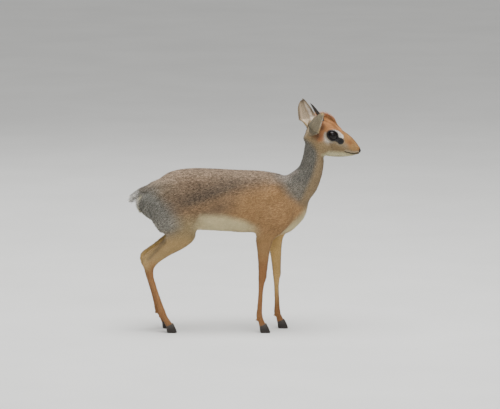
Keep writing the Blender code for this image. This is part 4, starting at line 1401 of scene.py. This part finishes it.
def ringed_horn(side, label):
    base = HEAD_FRAME @ Vector((HORN_BASE[0], side * HORN_BASE[1], HORN_BASE[2]))
    points = Vector((HORN_POINTS[0], side * HORN_POINTS[1], HORN_POINTS[2]))
    axis = (HEAD_FRAME.to_3x3() @ points).normalized()
    place = Matrix.Translation(base) @ axis.to_track_quat("Z", "Y").to_matrix().to_4x4()
    bm = bmesh.new()
    rings, heights = [], []
    for i in range(HORN_STEPS + 1):
        u = i / HORN_STEPS * (1 + HORN_ROOT) - HORN_ROOT
        radius = HORN_RADIUS * (1 - max(u, 0)) ** 0.75 + 0.0003
        wave = math.cos(2 * math.pi * u * HORN_RINGS / HORN_RINGED)
        radius += max(0, 1 - u / HORN_RINGED) * RING_HEIGHT * (wave if wave < 0 else wave**2)
        bend = HORN_BEND * (u - 0.4) ** 2
        ring = []
        for k in range(HORN_SIDES):
            turn = 2 * math.pi * k / HORN_SIDES
            flute = radius * (1 + 0.02 * math.cos(9 * turn) * (1 - u))
            co = Vector((flute * math.cos(turn), flute * math.sin(turn) - bend, u * HORN_LENGTH))
            ring.append(bm.verts.new(place @ co))
            heights.append(max(u, 0))
        rings.append(ring)
    join_rings(bm, rings)
    face_outward(bm)
    obj = object_from_bmesh(bm, f"ringed_horn_{label}")
    describe(obj.data, height=heights)
    return smooth_shaded(obj)


def horn_shader(name, bright):
    """Dark horn with fine lines, paler and scurfier near its root."""
    shader = Shader(name, 0.5)
    dark = settings().colours.horn
    scurf = tuple(bright * v for v in (0.11, 0.095, 0.080))
    height = shader.attribute("height")
    lines = shader.noise(420, 3.0, shader.place((1, 1, 3.2)))
    root = shader.span(height, 0.0, 0.55, 0.75, 0.0)
    share = shader.span(lines, 0.35, 0.75) * root
    shader.set("Base Color", shader.mix(share, tuple(dark), scurf))
    shader.set("Specular IOR Level", 0.3)
    shader.set("Roughness", shader.span(lines, 0.3, 0.7, 0.38, 0.62))
    shader.bump(lines, 0.0004, 0.5)
    return shader.material


def build_horns():
    material = horn_shader("dik_dik_horn", 1.0)
    for side, label in SIDES:
        finished(ringed_horn(side, label), material, "horn", f"horn_{label}")


# Rings of half a hoof: share of the way down, half length and half width.
CLAW_RINGS = (
    (0.0, 0.0070, 0.0034),
    (0.05, 0.0083, 0.0043),
    (0.28, 0.0096, 0.0050),
    (0.6, 0.0111, 0.0053),
    (0.92, 0.0120, 0.0052),
    (1.0, 0.0121, 0.0048),
)
CLAW_SIDES = 44
# Height of the coronet, how far it is behind the toe, how far the sole is ahead of it, and its slant.
CORONET = 0.0195
CORONET_TO_TOE = 0.0183
CLAW_FORWARD = 0.0062
CORONET_TILT = math.radians(22)


def claw_from_box(node, name):
    """Half a cloven hoof where the solid one stands: a slanting coronet, faint growth lines, a flat sole."""
    low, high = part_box(node)
    across = 1 if ("left" in node) == ("outer" in node) else -1
    start = Vector((high.x - CORONET_TO_TOE, (low.y + high.y) / 2, CORONET))
    bm = bmesh.new()
    rings, heights = [], []
    for share, length, width in curved(CLAW_RINGS, 6):
        share = min(1, max(0, share))
        middle = start + Vector((CLAW_FORWARD, 0, -CORONET)) * share
        tilt = math.tan(CORONET_TILT * (1 - share))
        growth = 1 - 0.012 * (0.5 + 0.5 * math.cos(share * 30)) * (share < 0.95)
        growth -= 0.06 * max(0, share - 0.95) / 0.05
        ring = []
        for k in range(CLAW_SIDES):
            turn = 2 * math.pi * k / CLAW_SIDES
            ahead = math.cos(turn)
            wide = math.copysign(abs(math.sin(turn)) ** 0.8, math.sin(turn)) * width
            wide *= 1 - 0.45 * max(0, ahead) ** 1.6
            if wide * across < 0:
                wide *= 1 - 0.30 * max(0, -ahead)
            else:
                wide += across * 0.0008 * max(0, ahead)
            x = length * ahead
            offset = Vector((x * growth, wide * growth, tilt * x))
            ring.append(bm.verts.new(middle + offset))
            heights.append(share)
        rings.append(ring)
    join_rings(bm, rings)
    face_outward(bm)
    obj = object_from_bmesh(bm, name)
    describe(obj.data, height=heights)
    return smooth_shaded(obj)


def build_hooves():
    material = horn_shader("dik_dik_hoof", 1.3)
    for node in sorted(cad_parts):
        if node.startswith("hoof"):
            claw = claw_from_box(node, node.replace("hoof", "claw"))
            finished(claw, material, "hoof", node)


# Tufts


def as_tuft(obj):
    """Stores how far along the tuft each point is, and its place on the tuft's own patch of the unwrap."""
    points = positions(obj.data)
    patch = np.stack((points[:, 0], points[:, 1] - 0.5, np.zeros(len(points))), axis=1)
    describe(obj.data, along=points[:, 1], patch=patch)
    obj.hide_render = True
    return obj


SHORT_TUFT = ((-0.5, 0, -0.04), (0.5, 0, -0.04), (0.40, 0.5, 0.09), (-0.40, 0.5, 0.09), (0, 1, 0))
# Rows of a crest tuft: along, half width and height.
CREST_TUFT = ((0.0, 0.50, -0.10), (0.22, 0.48, 0.075), (0.5, 0.38, 0.12), (0.78, 0.22, 0.085))


def short_tuft_shape(name):
    """One tuft, a unit long and a unit wide: a tapered blade that rises and then lies down again."""
    bm = bmesh.new()
    verts = [bm.verts.new(co) for co in SHORT_TUFT]
    bm.faces.new((verts[0], verts[1], verts[2]))
    bm.faces.new((verts[0], verts[2], verts[3]))
    bm.faces.new((verts[3], verts[2], verts[4]))
    return as_tuft(object_from_bmesh(bm, name))


class Tree:
    """A Geometry Nodes group with named inputs."""

    def __init__(self, name, inputs):
        self.tree = bpy.data.node_groups.new(name, "GeometryNodeTree")
        face = self.tree.interface
        face.new_socket("Geometry", in_out="INPUT", socket_type="NodeSocketGeometry")
        self.names = {}
        for label, kind in inputs.items():
            made = face.new_socket(label, in_out="INPUT", socket_type="NodeSocket" + kind)
            self.names[label] = made.identifier
        face.new_socket("Geometry", in_out="OUTPUT", socket_type="NodeSocketGeometry")
        self.input = self.tree.nodes.new("NodeGroupInput")
        self.output = self.tree.nodes.new("NodeGroupOutput")

    def node(self, kind, options=None, values=None, output=0):
        made = self.tree.nodes.new(kind)
        for key, value in (options or {}).items():
            setattr(made, key, value)
        for key, value in (values or {}).items():
            socket = made.inputs[key]
            if isinstance(value, bpy.types.NodeSocket):
                self.tree.links.new(value, socket)
            else:
                socket.default_value = value
        return made.outputs[output]

    def named(self, name, kind="FLOAT"):
        return self.node("GeometryNodeInputNamedAttribute", {"data_type": kind}, {"Name": name})

    def maths(self, operation, first, second):
        return self.node("ShaderNodeMath", {"operation": operation}, {0: first, 1: second})

    def scaled(self, way, by):
        return self.node("ShaderNodeVectorMath", {"operation": "SCALE"}, {0: way, 3: by})

    def added(self, first, second):
        return self.node("ShaderNodeVectorMath", {"operation": "ADD"}, {0: first, 1: second})

    def random(self, low, high, seed):
        values = {2: low, 3: high, "Seed": seed}
        return self.node("FunctionNodeRandomValue", {"data_type": "FLOAT"}, values, output=1)


# Width on the unwrap of the patch that one tuft takes.
PATCH_OF_TUFT = 0.003
TUFT_INPUTS = {
    "Tuft": "Object",
    "Tufts per square metre": "Float",
    "Length": "Float",
    "Width": "Float",
    "Lift": "Float",
    "Loose": "Float",
    "Stray": "Float",
    "Region": "Int",
    "Seed": "Int",
    "Material": "Material",
}


def tuft_values(blade, density, seed, material, region=0, loose=0.65, stray=0.16):
    """What the tree of tufts is given, in the order of its inputs."""
    return dict(zip(TUFT_INPUTS, (blade, density, 1.0, 1.0, 1.0, loose, stray, region, seed, material)))


def tuft_tree():
    """Tufts on a surface: points spread over it, a tuft on each laid along the coat, then made real."""
    tree = Tree("tufts_on_a_surface", TUFT_INPUTS)
    given = tree.input.outputs
    region = tree.named("region", "INT")
    same = tree.node(
        "FunctionNodeCompare",
        {"data_type": "INT", "operation": "EQUAL"},
        {2: region, 3: given["Region"]},
    )
    density = tree.maths("MULTIPLY", tree.named("cover"), given["Tufts per square metre"])
    spread = tree.node(
        "GeometryNodeDistributePointsOnFaces",
        {"distribute_method": "RANDOM"},
        {
            "Mesh": given["Geometry"],
            "Selection": same,
            "Density": density,
            "Seed": given["Seed"],
        },
    )
    facing = spread.node.outputs["Normal"]
    stray = tree.node(
        "FunctionNodeRandomValue",
        {"data_type": "FLOAT_VECTOR"},
        {0: (-1, -1, -1), 1: (1, 1, 1), "Seed": 3},
    )
    stray = tree.scaled(stray, given["Stray"])
    lie = tree.added(tree.named("lie", "FLOAT_VECTOR"), stray)
    turn = tree.node(
        "FunctionNodeAxesToRotation", {"primary_axis": "Z", "secondary_axis": "Y"}, {0: facing, 1: lie}
    )
    lift = tree.maths("MULTIPLY", tree.named("tuft_lift"), given["Lift"])
    least = tree.maths("SUBTRACT", 1.0, given["Loose"])
    most = tree.maths("ADD", 1.0, given["Loose"])
    lift = tree.maths("MULTIPLY", lift, tree.random(least, most, 5))
    roll = tree.random(-0.35, 0.35, 8)
    tilt = tree.node("ShaderNodeCombineXYZ", None, {0: lift, 1: roll, 2: 0.0})
    tilt = tree.node("FunctionNodeEulerToRotation", None, {0: tilt})
    turn = tree.node("FunctionNodeRotateRotation", {"rotation_space": "LOCAL"}, {0: turn, 1: tilt})
    length = tree.maths("MULTIPLY", tree.named("tuft_length"), given["Length"])
    length = tree.maths("MULTIPLY", length, tree.random(0.70, 1.20, 1))
    width = tree.maths("MULTIPLY", tree.named("tuft_width"), given["Width"])
    width = tree.maths("MULTIPLY", width, tree.random(0.75, 1.25, 2))
    size = tree.node("ShaderNodeCombineXYZ", None, {0: width, 1: length, 2: length})
    tuft = tree.node("GeometryNodeObjectInfo", None, {"Object": given["Tuft"]}, output=4)
    placed = tree.node(
        "GeometryNodeInstanceOnPoints",
        None,
        {"Points": spread, "Instance": tuft, "Rotation": turn, "Scale": size},
    )
    placed = tree.node(
        "GeometryNodeStoreNamedAttribute",
        {"data_type": "FLOAT", "domain": "INSTANCE"},
        {"Geometry": placed, "Name": "tuft", "Value": tree.random(0.0, 1.0, 4)},
    )
    real = tree.node("GeometryNodeRealizeInstances", None, {"Geometry": placed})
    patch = tree.scaled(tree.named("patch", "FLOAT_VECTOR"), PATCH_OF_TUFT)
    patch = tree.added(tree.named("root_uv", "FLOAT_VECTOR"), patch)
    mapped = tree.node(
        "GeometryNodeStoreNamedAttribute",
        {"data_type": "FLOAT2", "domain": "CORNER"},
        {"Geometry": real, "Name": "OFBake", "Value": patch},
    )
    done = tree.node(
        "GeometryNodeSetMaterial", None, {"Geometry": mapped, "Material": given["Material"]}
    )
    tree.tree.links.new(done, tree.output.inputs[0])
    return tree


GROWING_ONLY = ("lie", "tuft_length", "tuft_width", "tuft_lift", "cover", "patch", "root_uv", "region")


def grown(tree, name, surface, values):
    """A plain mesh of the tufts that the tree grows on a surface."""
    obj = new_object(name, surface)
    modifier = obj.modifiers.new("Tufts", "NODES")
    modifier.node_group = tree.tree
    for label, value in values.items():
        modifier[tree.names[label]] = value
    baked(obj)
    for extra in GROWING_ONLY:
        if extra in obj.data.attributes:
            obj.data.attributes.remove(obj.data.attributes[extra])
    return obj


def coat_shader():
    """Hair with the skin's markings: darker at the root, and each tuft of a grizzled part its own shade."""
    shader = Shader("dik_dik_coat", 0.72)
    marking = shader.attribute("marking", "Color")
    tuft = shader.attribute("tuft")
    along = shader.attribute("along")
    grizzle = shader.attribute("grizzle")
    patches = shader.span(shader.noise(28, 2.0), 0.3, 0.7, 0.90, 1.10)
    flecks = shader.span(shader.noise(400, 2.0), 0.32, 0.68, -1.0, 1.0)
    own = 1 + (tuft - 0.5) * (0.14 + grizzle * 0.25)
    root = shader.span(along, 0.0, 0.5, 0.78, 1.0)
    shade = patches * own * root * (1 + grizzle * flecks * 0.30)
    dark_tuft = (0.42 - tuft).above(0.0)
    pale_tuft = (tuft - 0.66).above(0.0)
    banded = shader.span(along, 0.35, 0.75, 0.0, 1.0)
    speckle = 1 + grizzle * (pale_tuft * 0.75 - dark_tuft * 0.48) * banded
    shader.set("Base Color", shader.mix(1.0, marking, shader.grey(shade * speckle), "MULTIPLY"))
    shader.set("Specular IOR Level", 0.3)
    shader.set("Sheen Weight", 0.08)
    shader.set("Sheen Roughness", 0.5)
    return shader.material


# Pieces of the coat in the order of their numbers: name, slot and about how many tufts.
COAT_REGIONS = (
    ("coat_head", "head_coat", 62000),
    ("coat_neck", "body_coat", 50000),
    ("coat_shoulder_right", "body_coat", 44000),
    ("coat_shoulder_left", "body_coat", 44000),
    ("coat_rump_right", "body_coat", 46000),
    ("coat_rump_left", "body_coat", 46000),
    ("coat_forelegs", "leg_coat", 40000),
    ("coat_hindlegs", "leg_coat", 46000),
)


# Where the coat's pieces meet: shoulder and rump, the body and the legs, and the forelegs and hind legs.
WAIST = -0.075
LEG_TOP = 0.236
BETWEEN_LEGS = -0.05


def coat_regions(points):
    """The number of the coat piece that each point belongs to."""
    at = Places(points)
    region = np.where(at.x > WAIST, 2, 4) + (at.y > 0)
    low = at.z < LEG_TOP
    region = np.where(low & (at.x > BETWEEN_LEGS), 6, region)
    region = np.where(low & (at.x < BETWEEN_LEGS), 7, region)
    region = np.where(at.neck > 0.5, 1, region)
    return np.where(at.head > 0.5, 0, region)


def root_surface(mesh, region):
    """A copy of a surface that also holds each vertex's region and each corner's place on the unwrap."""
    surface = mesh.copy()
    made = surface.attributes.new("region", "INT", "POINT")
    made.data.foreach_set("value", region.astype(np.int32))
    corners = np.zeros(len(surface.loops), np.int32)
    surface.loops.foreach_get("vertex_index", corners)
    uv = np.zeros(len(surface.loops) * 2, np.float32)
    surface.uv_layers["OFBake"].data.foreach_get("uv", uv)
    flat = np.zeros((len(surface.loops), 3), np.float32)
    flat[:, :2] = uv.reshape(-1, 2)
    root = surface.attributes.new("root_uv", "FLOAT_VECTOR", "CORNER")
    root.data.foreach_set("vector", flat.ravel())
    surface.uv_layers.remove(surface.uv_layers["OFBake"])
    return surface


def region_weight(surface, region, wanted):
    """Area of a region, each part counted by its cover."""
    cover = np.zeros(len(surface.vertices), np.float32)
    surface.attributes["cover"].data.foreach_get("value", cover)
    bm = bmesh.new()
    bm.from_mesh(surface)
    total = 0.0
    for face in bm.faces:
        inside = [v.index for v in face.verts if region[v.index] == wanted]
        if inside:
            share = sum(cover[i] for i in inside) / len(face.verts)
            total += face.calc_area() * share
    bm.free()
    return total


def build_coat(skin):
    coat = settings().coat
    tree = tuft_tree()
    blade = short_tuft_shape("short_tuft")
    material = coat_shader()
    region = coat_regions(positions(skin.data))
    surface = root_surface(skin.data, region)
    for number, (name, slot, count) in enumerate(COAT_REGIONS):
        density = coat.cover * count / region_weight(surface, region, number)
        values = tuft_values(blade, density, coat.seed + number, material, region=number)
        finished(grown(tree, name, surface, values), material, slot)
    bpy.data.objects.remove(blade)


def crest_blade(name):
    """A longer tuft that rises, arches and comes down to a point."""
    bm = bmesh.new()
    pairs = []
    for along, wide, height in CREST_TUFT:
        pairs.append([bm.verts.new((side * wide, along, height)) for side in (-1, 1)])
    for first, second in zip(pairs, pairs[1:]):
        bm.faces.new((first[0], first[1], second[1], second[0]))
    bm.faces.new((pairs[-1][0], pairs[-1][1], bm.verts.new((0, 1, 0))))
    bmesh.ops.triangulate(bm, faces=bm.faces)
    return as_tuft(object_from_bmesh(bm, name))


# The crest runs back from the first of these places on the head, for so far.
CREST_STARTS = 0.0740
CREST_LONG = 0.044
CREST_TUFTS = 5.2e6
CREST_SEED = 40


def build_crest(skin):
    """Locks of finer hair that rise from the forehead between the horns and lean back."""
    coat, colours = settings().coat, settings().colours
    material = coat_shader()
    surface = root_surface(skin.data, np.zeros(len(skin.data.vertices), int))
    points = positions(surface)
    at = Places(points)
    row = np.clip((CREST_STARTS - at.along) / CREST_LONG, 0, 1)
    inside = step(0.080, 0.070, at.along) * step(0.018, 0.026, at.along) * at.head
    inside = inside * step(0.0120, 0.0065, at.across) * (at.over > 0.02)
    local = transformed(points, HEAD_FRAME.inverted())
    turn = np.array(head_turn().to_3x3())
    lie = np.stack((-np.ones(len(points)), local[:, 1] * 12, 0 * row), axis=1) @ turn.T
    middle = step(0.0085, 0.0020, at.across)
    length = 0.0105 + 0.0125 * step(0.0, 0.5, row) + 0.0025 * step(0.5, 1.0, row)
    length *= 0.45 + 0.55 * middle
    lift = 14 + 14 * step(0.0, 0.45, row) + 4 * step(0.45, 1.0, row)
    lift = np.radians(lift * (0.35 + 0.65 * middle))
    dark = bell(at.across - 0.0048, 0.0022) * step(0.062, 0.045, at.along)
    colour = blend(covered(colours.crest, len(points)), 0.5 * dark, colours.rusty)
    describe(surface, cover=inside, lie=lie, tuft_length=length, tuft_width=0.0008)
    describe(surface, tuft_lift=lift, grizzle=0.25, marking=colour)
    blade = crest_blade("crest_tuft")
    density = coat.cover * CREST_TUFTS
    values = tuft_values(blade, density, coat.seed + CREST_SEED, material, loose=0.30, stray=0.14)
    finished(grown(tuft_tree(), "crest", surface, values), material, "head_coat")
    bpy.data.objects.remove(blade)


# Stage


# Lamps: name, place, size and watts.
LAMPS = (
    ("overhead", (0.1, -0.4, 3.3), 2.6, 158),
    ("front", (0.8, -3.2, 1.9), 2.2, 30),
    ("back", (-1.0, 2.6, 2.2), 2.2, 26),
)
SENSOR = 36
# Pixels of the picture: its width, its middle, and where the zero of the drawn places falls.
PICTURE_WIDTH = 500
PICTURE_MIDDLE = (250, 204.5)
ORIGIN_IN_PICTURE = (247, 330.7)


def build_stage():
    stage = settings().stage
    bm = bmesh.new()
    bmesh.ops.create_grid(bm, x_segments=1, y_segments=1, size=30)
    floor = object_from_bmesh(bm, "floor")
    shader = Shader("floor", 0.95)
    cloud = shader.span(shader.noise(3, 2.0), 0.3, 0.7)
    shader.set("Base Color", shader.mix(cloud, (0.70, 0.70, 0.68), (0.74, 0.74, 0.72)))
    shader.set("Specular IOR Level", 0.1)
    floor.data.materials.append(shader.material)

    world = bpy.data.worlds.new("studio")
    world.use_nodes = True
    sky = world.node_tree.nodes["Background"]
    sky.inputs["Color"].default_value = (1.0, 1.0, 1.0, 1)
    sky.inputs["Strength"].default_value = stage.strength
    bpy.context.scene.world = world
    for name, place, size, watts in LAMPS:
        lamp(name, place, size, watts)

    camera = bpy.data.cameras.new("camera")
    camera.sensor_width = SENSOR
    camera.lens = SENSOR * stage.distance / stage.wide
    camera.clip_end = 60
    pixel = stage.wide / PICTURE_WIDTH
    rise = math.cos(stage.elevation)
    right = (PICTURE_MIDDLE[0] - ORIGIN_IN_PICTURE[0]) * pixel
    up = (ORIGIN_IN_PICTURE[1] - PICTURE_MIDDLE[1]) * pixel / rise
    target = Vector((right, 0, up)) + SHIFT
    back = Vector((0, -rise, math.sin(stage.elevation))) * stage.distance
    obj = bpy.data.objects.new("camera", camera)
    obj.location = target + back
    obj.rotation_euler = (math.pi / 2 - stage.elevation, 0, 0)
    bpy.context.scene.collection.objects.link(obj)
    bpy.context.scene.camera = obj


def lamp(name, place, size, watts):
    data = bpy.data.lights.new(name, "AREA")
    data.shape = "DISK"
    data.size = size
    data.energy = watts
    obj = bpy.data.objects.new(name, data)
    obj.location = place
    aim = Vector((0, 0, 0.3)) - Vector(place)
    obj.rotation_euler = aim.to_track_quat("-Z", "Y").to_euler()
    bpy.context.scene.collection.objects.link(obj)


# Operators


class DIKDIK_OT_skin(bpy.types.Operator):
    """Builds the skin that stands in for all the flesh"""

    bl_idname = "dik_dik.skin"
    bl_label = "Skin"

    def execute(self, context):
        build_skin()
        return {"FINISHED"}


class DIKDIK_OT_eyes(bpy.types.Operator):
    """Builds the eyes, their lids and lashes"""

    bl_idname = "dik_dik.eyes"
    bl_label = "Eyes"

    def execute(self, context):
        build_eyes(bpy.data.objects["skin"])
        return {"FINISHED"}


class DIKDIK_OT_ears(bpy.types.Operator):
    """Builds the ears and the hair on them"""

    bl_idname = "dik_dik.ears"
    bl_label = "Ears"

    def execute(self, context):
        build_ears()
        return {"FINISHED"}


class DIKDIK_OT_horns(bpy.types.Operator):
    """Builds the ringed horns"""

    bl_idname = "dik_dik.horns"
    bl_label = "Horns"

    def execute(self, context):
        build_horns()
        return {"FINISHED"}


class DIKDIK_OT_hooves(bpy.types.Operator):
    """Builds the cloven hooves"""

    bl_idname = "dik_dik.hooves"
    bl_label = "Hooves"

    def execute(self, context):
        build_hooves()
        return {"FINISHED"}


class DIKDIK_OT_crest(bpy.types.Operator):
    """Grows the crest between the horns"""

    bl_idname = "dik_dik.crest"
    bl_label = "Crest"

    def execute(self, context):
        build_crest(bpy.data.objects["skin"])
        return {"FINISHED"}


class DIKDIK_OT_coat(bpy.types.Operator):
    """Grows the short coat on the skin"""

    bl_idname = "dik_dik.coat"
    bl_label = "Coat"

    def execute(self, context):
        build_coat(bpy.data.objects["skin"])
        return {"FINISHED"}


class DIKDIK_OT_stage(bpy.types.Operator):
    """Sets the floor, the lights and the camera"""

    bl_idname = "dik_dik.stage"
    bl_label = "Stage"

    def execute(self, context):
        build_stage()
        return {"FINISHED"}


class DIKDIK_PT_panel(bpy.types.Panel):
    bl_label = "Dik-dik"
    bl_idname = "DIKDIK_PT_panel"
    bl_space_type = "VIEW_3D"
    bl_region_type = "UI"
    bl_category = "Dik-dik"

    def draw(self, context):
        for operator in OPERATORS:
            self.layout.operator(operator.bl_idname)
        for group in (context.scene.dik_dik.shape, context.scene.dik_dik.coat):
            box = self.layout.box()
            for name in group.__annotations__:
                box.prop(group, name)


OPERATORS = (
    DIKDIK_OT_skin,
    DIKDIK_OT_eyes,
    DIKDIK_OT_ears,
    DIKDIK_OT_horns,
    DIKDIK_OT_hooves,
    DIKDIK_OT_coat,
    DIKDIK_OT_crest,
    DIKDIK_OT_stage,
)
GROUPS = (DikDikColours, DikDikShape, DikDikCoat, DikDikStage, DikDikSettings)
CLASSES = (*GROUPS, *OPERATORS, DIKDIK_PT_panel)


def register():
    for found in CLASSES:
        bpy.utils.register_class(found)
    bpy.types.Scene.dik_dik = PointerProperty(
        type=DikDikSettings, name="Dik-dik", description="Sizes and colours of the dik-dik"
    )


def unregister():
    del bpy.types.Scene.dik_dik
    for found in reversed(CLASSES):
        bpy.utils.unregister_class(found)


def main():
    register()
    for operator in OPERATORS:
        category, name = operator.bl_idname.split(".")
        getattr(getattr(bpy.ops, category), name)()


if __name__ == "__main__":
    main()
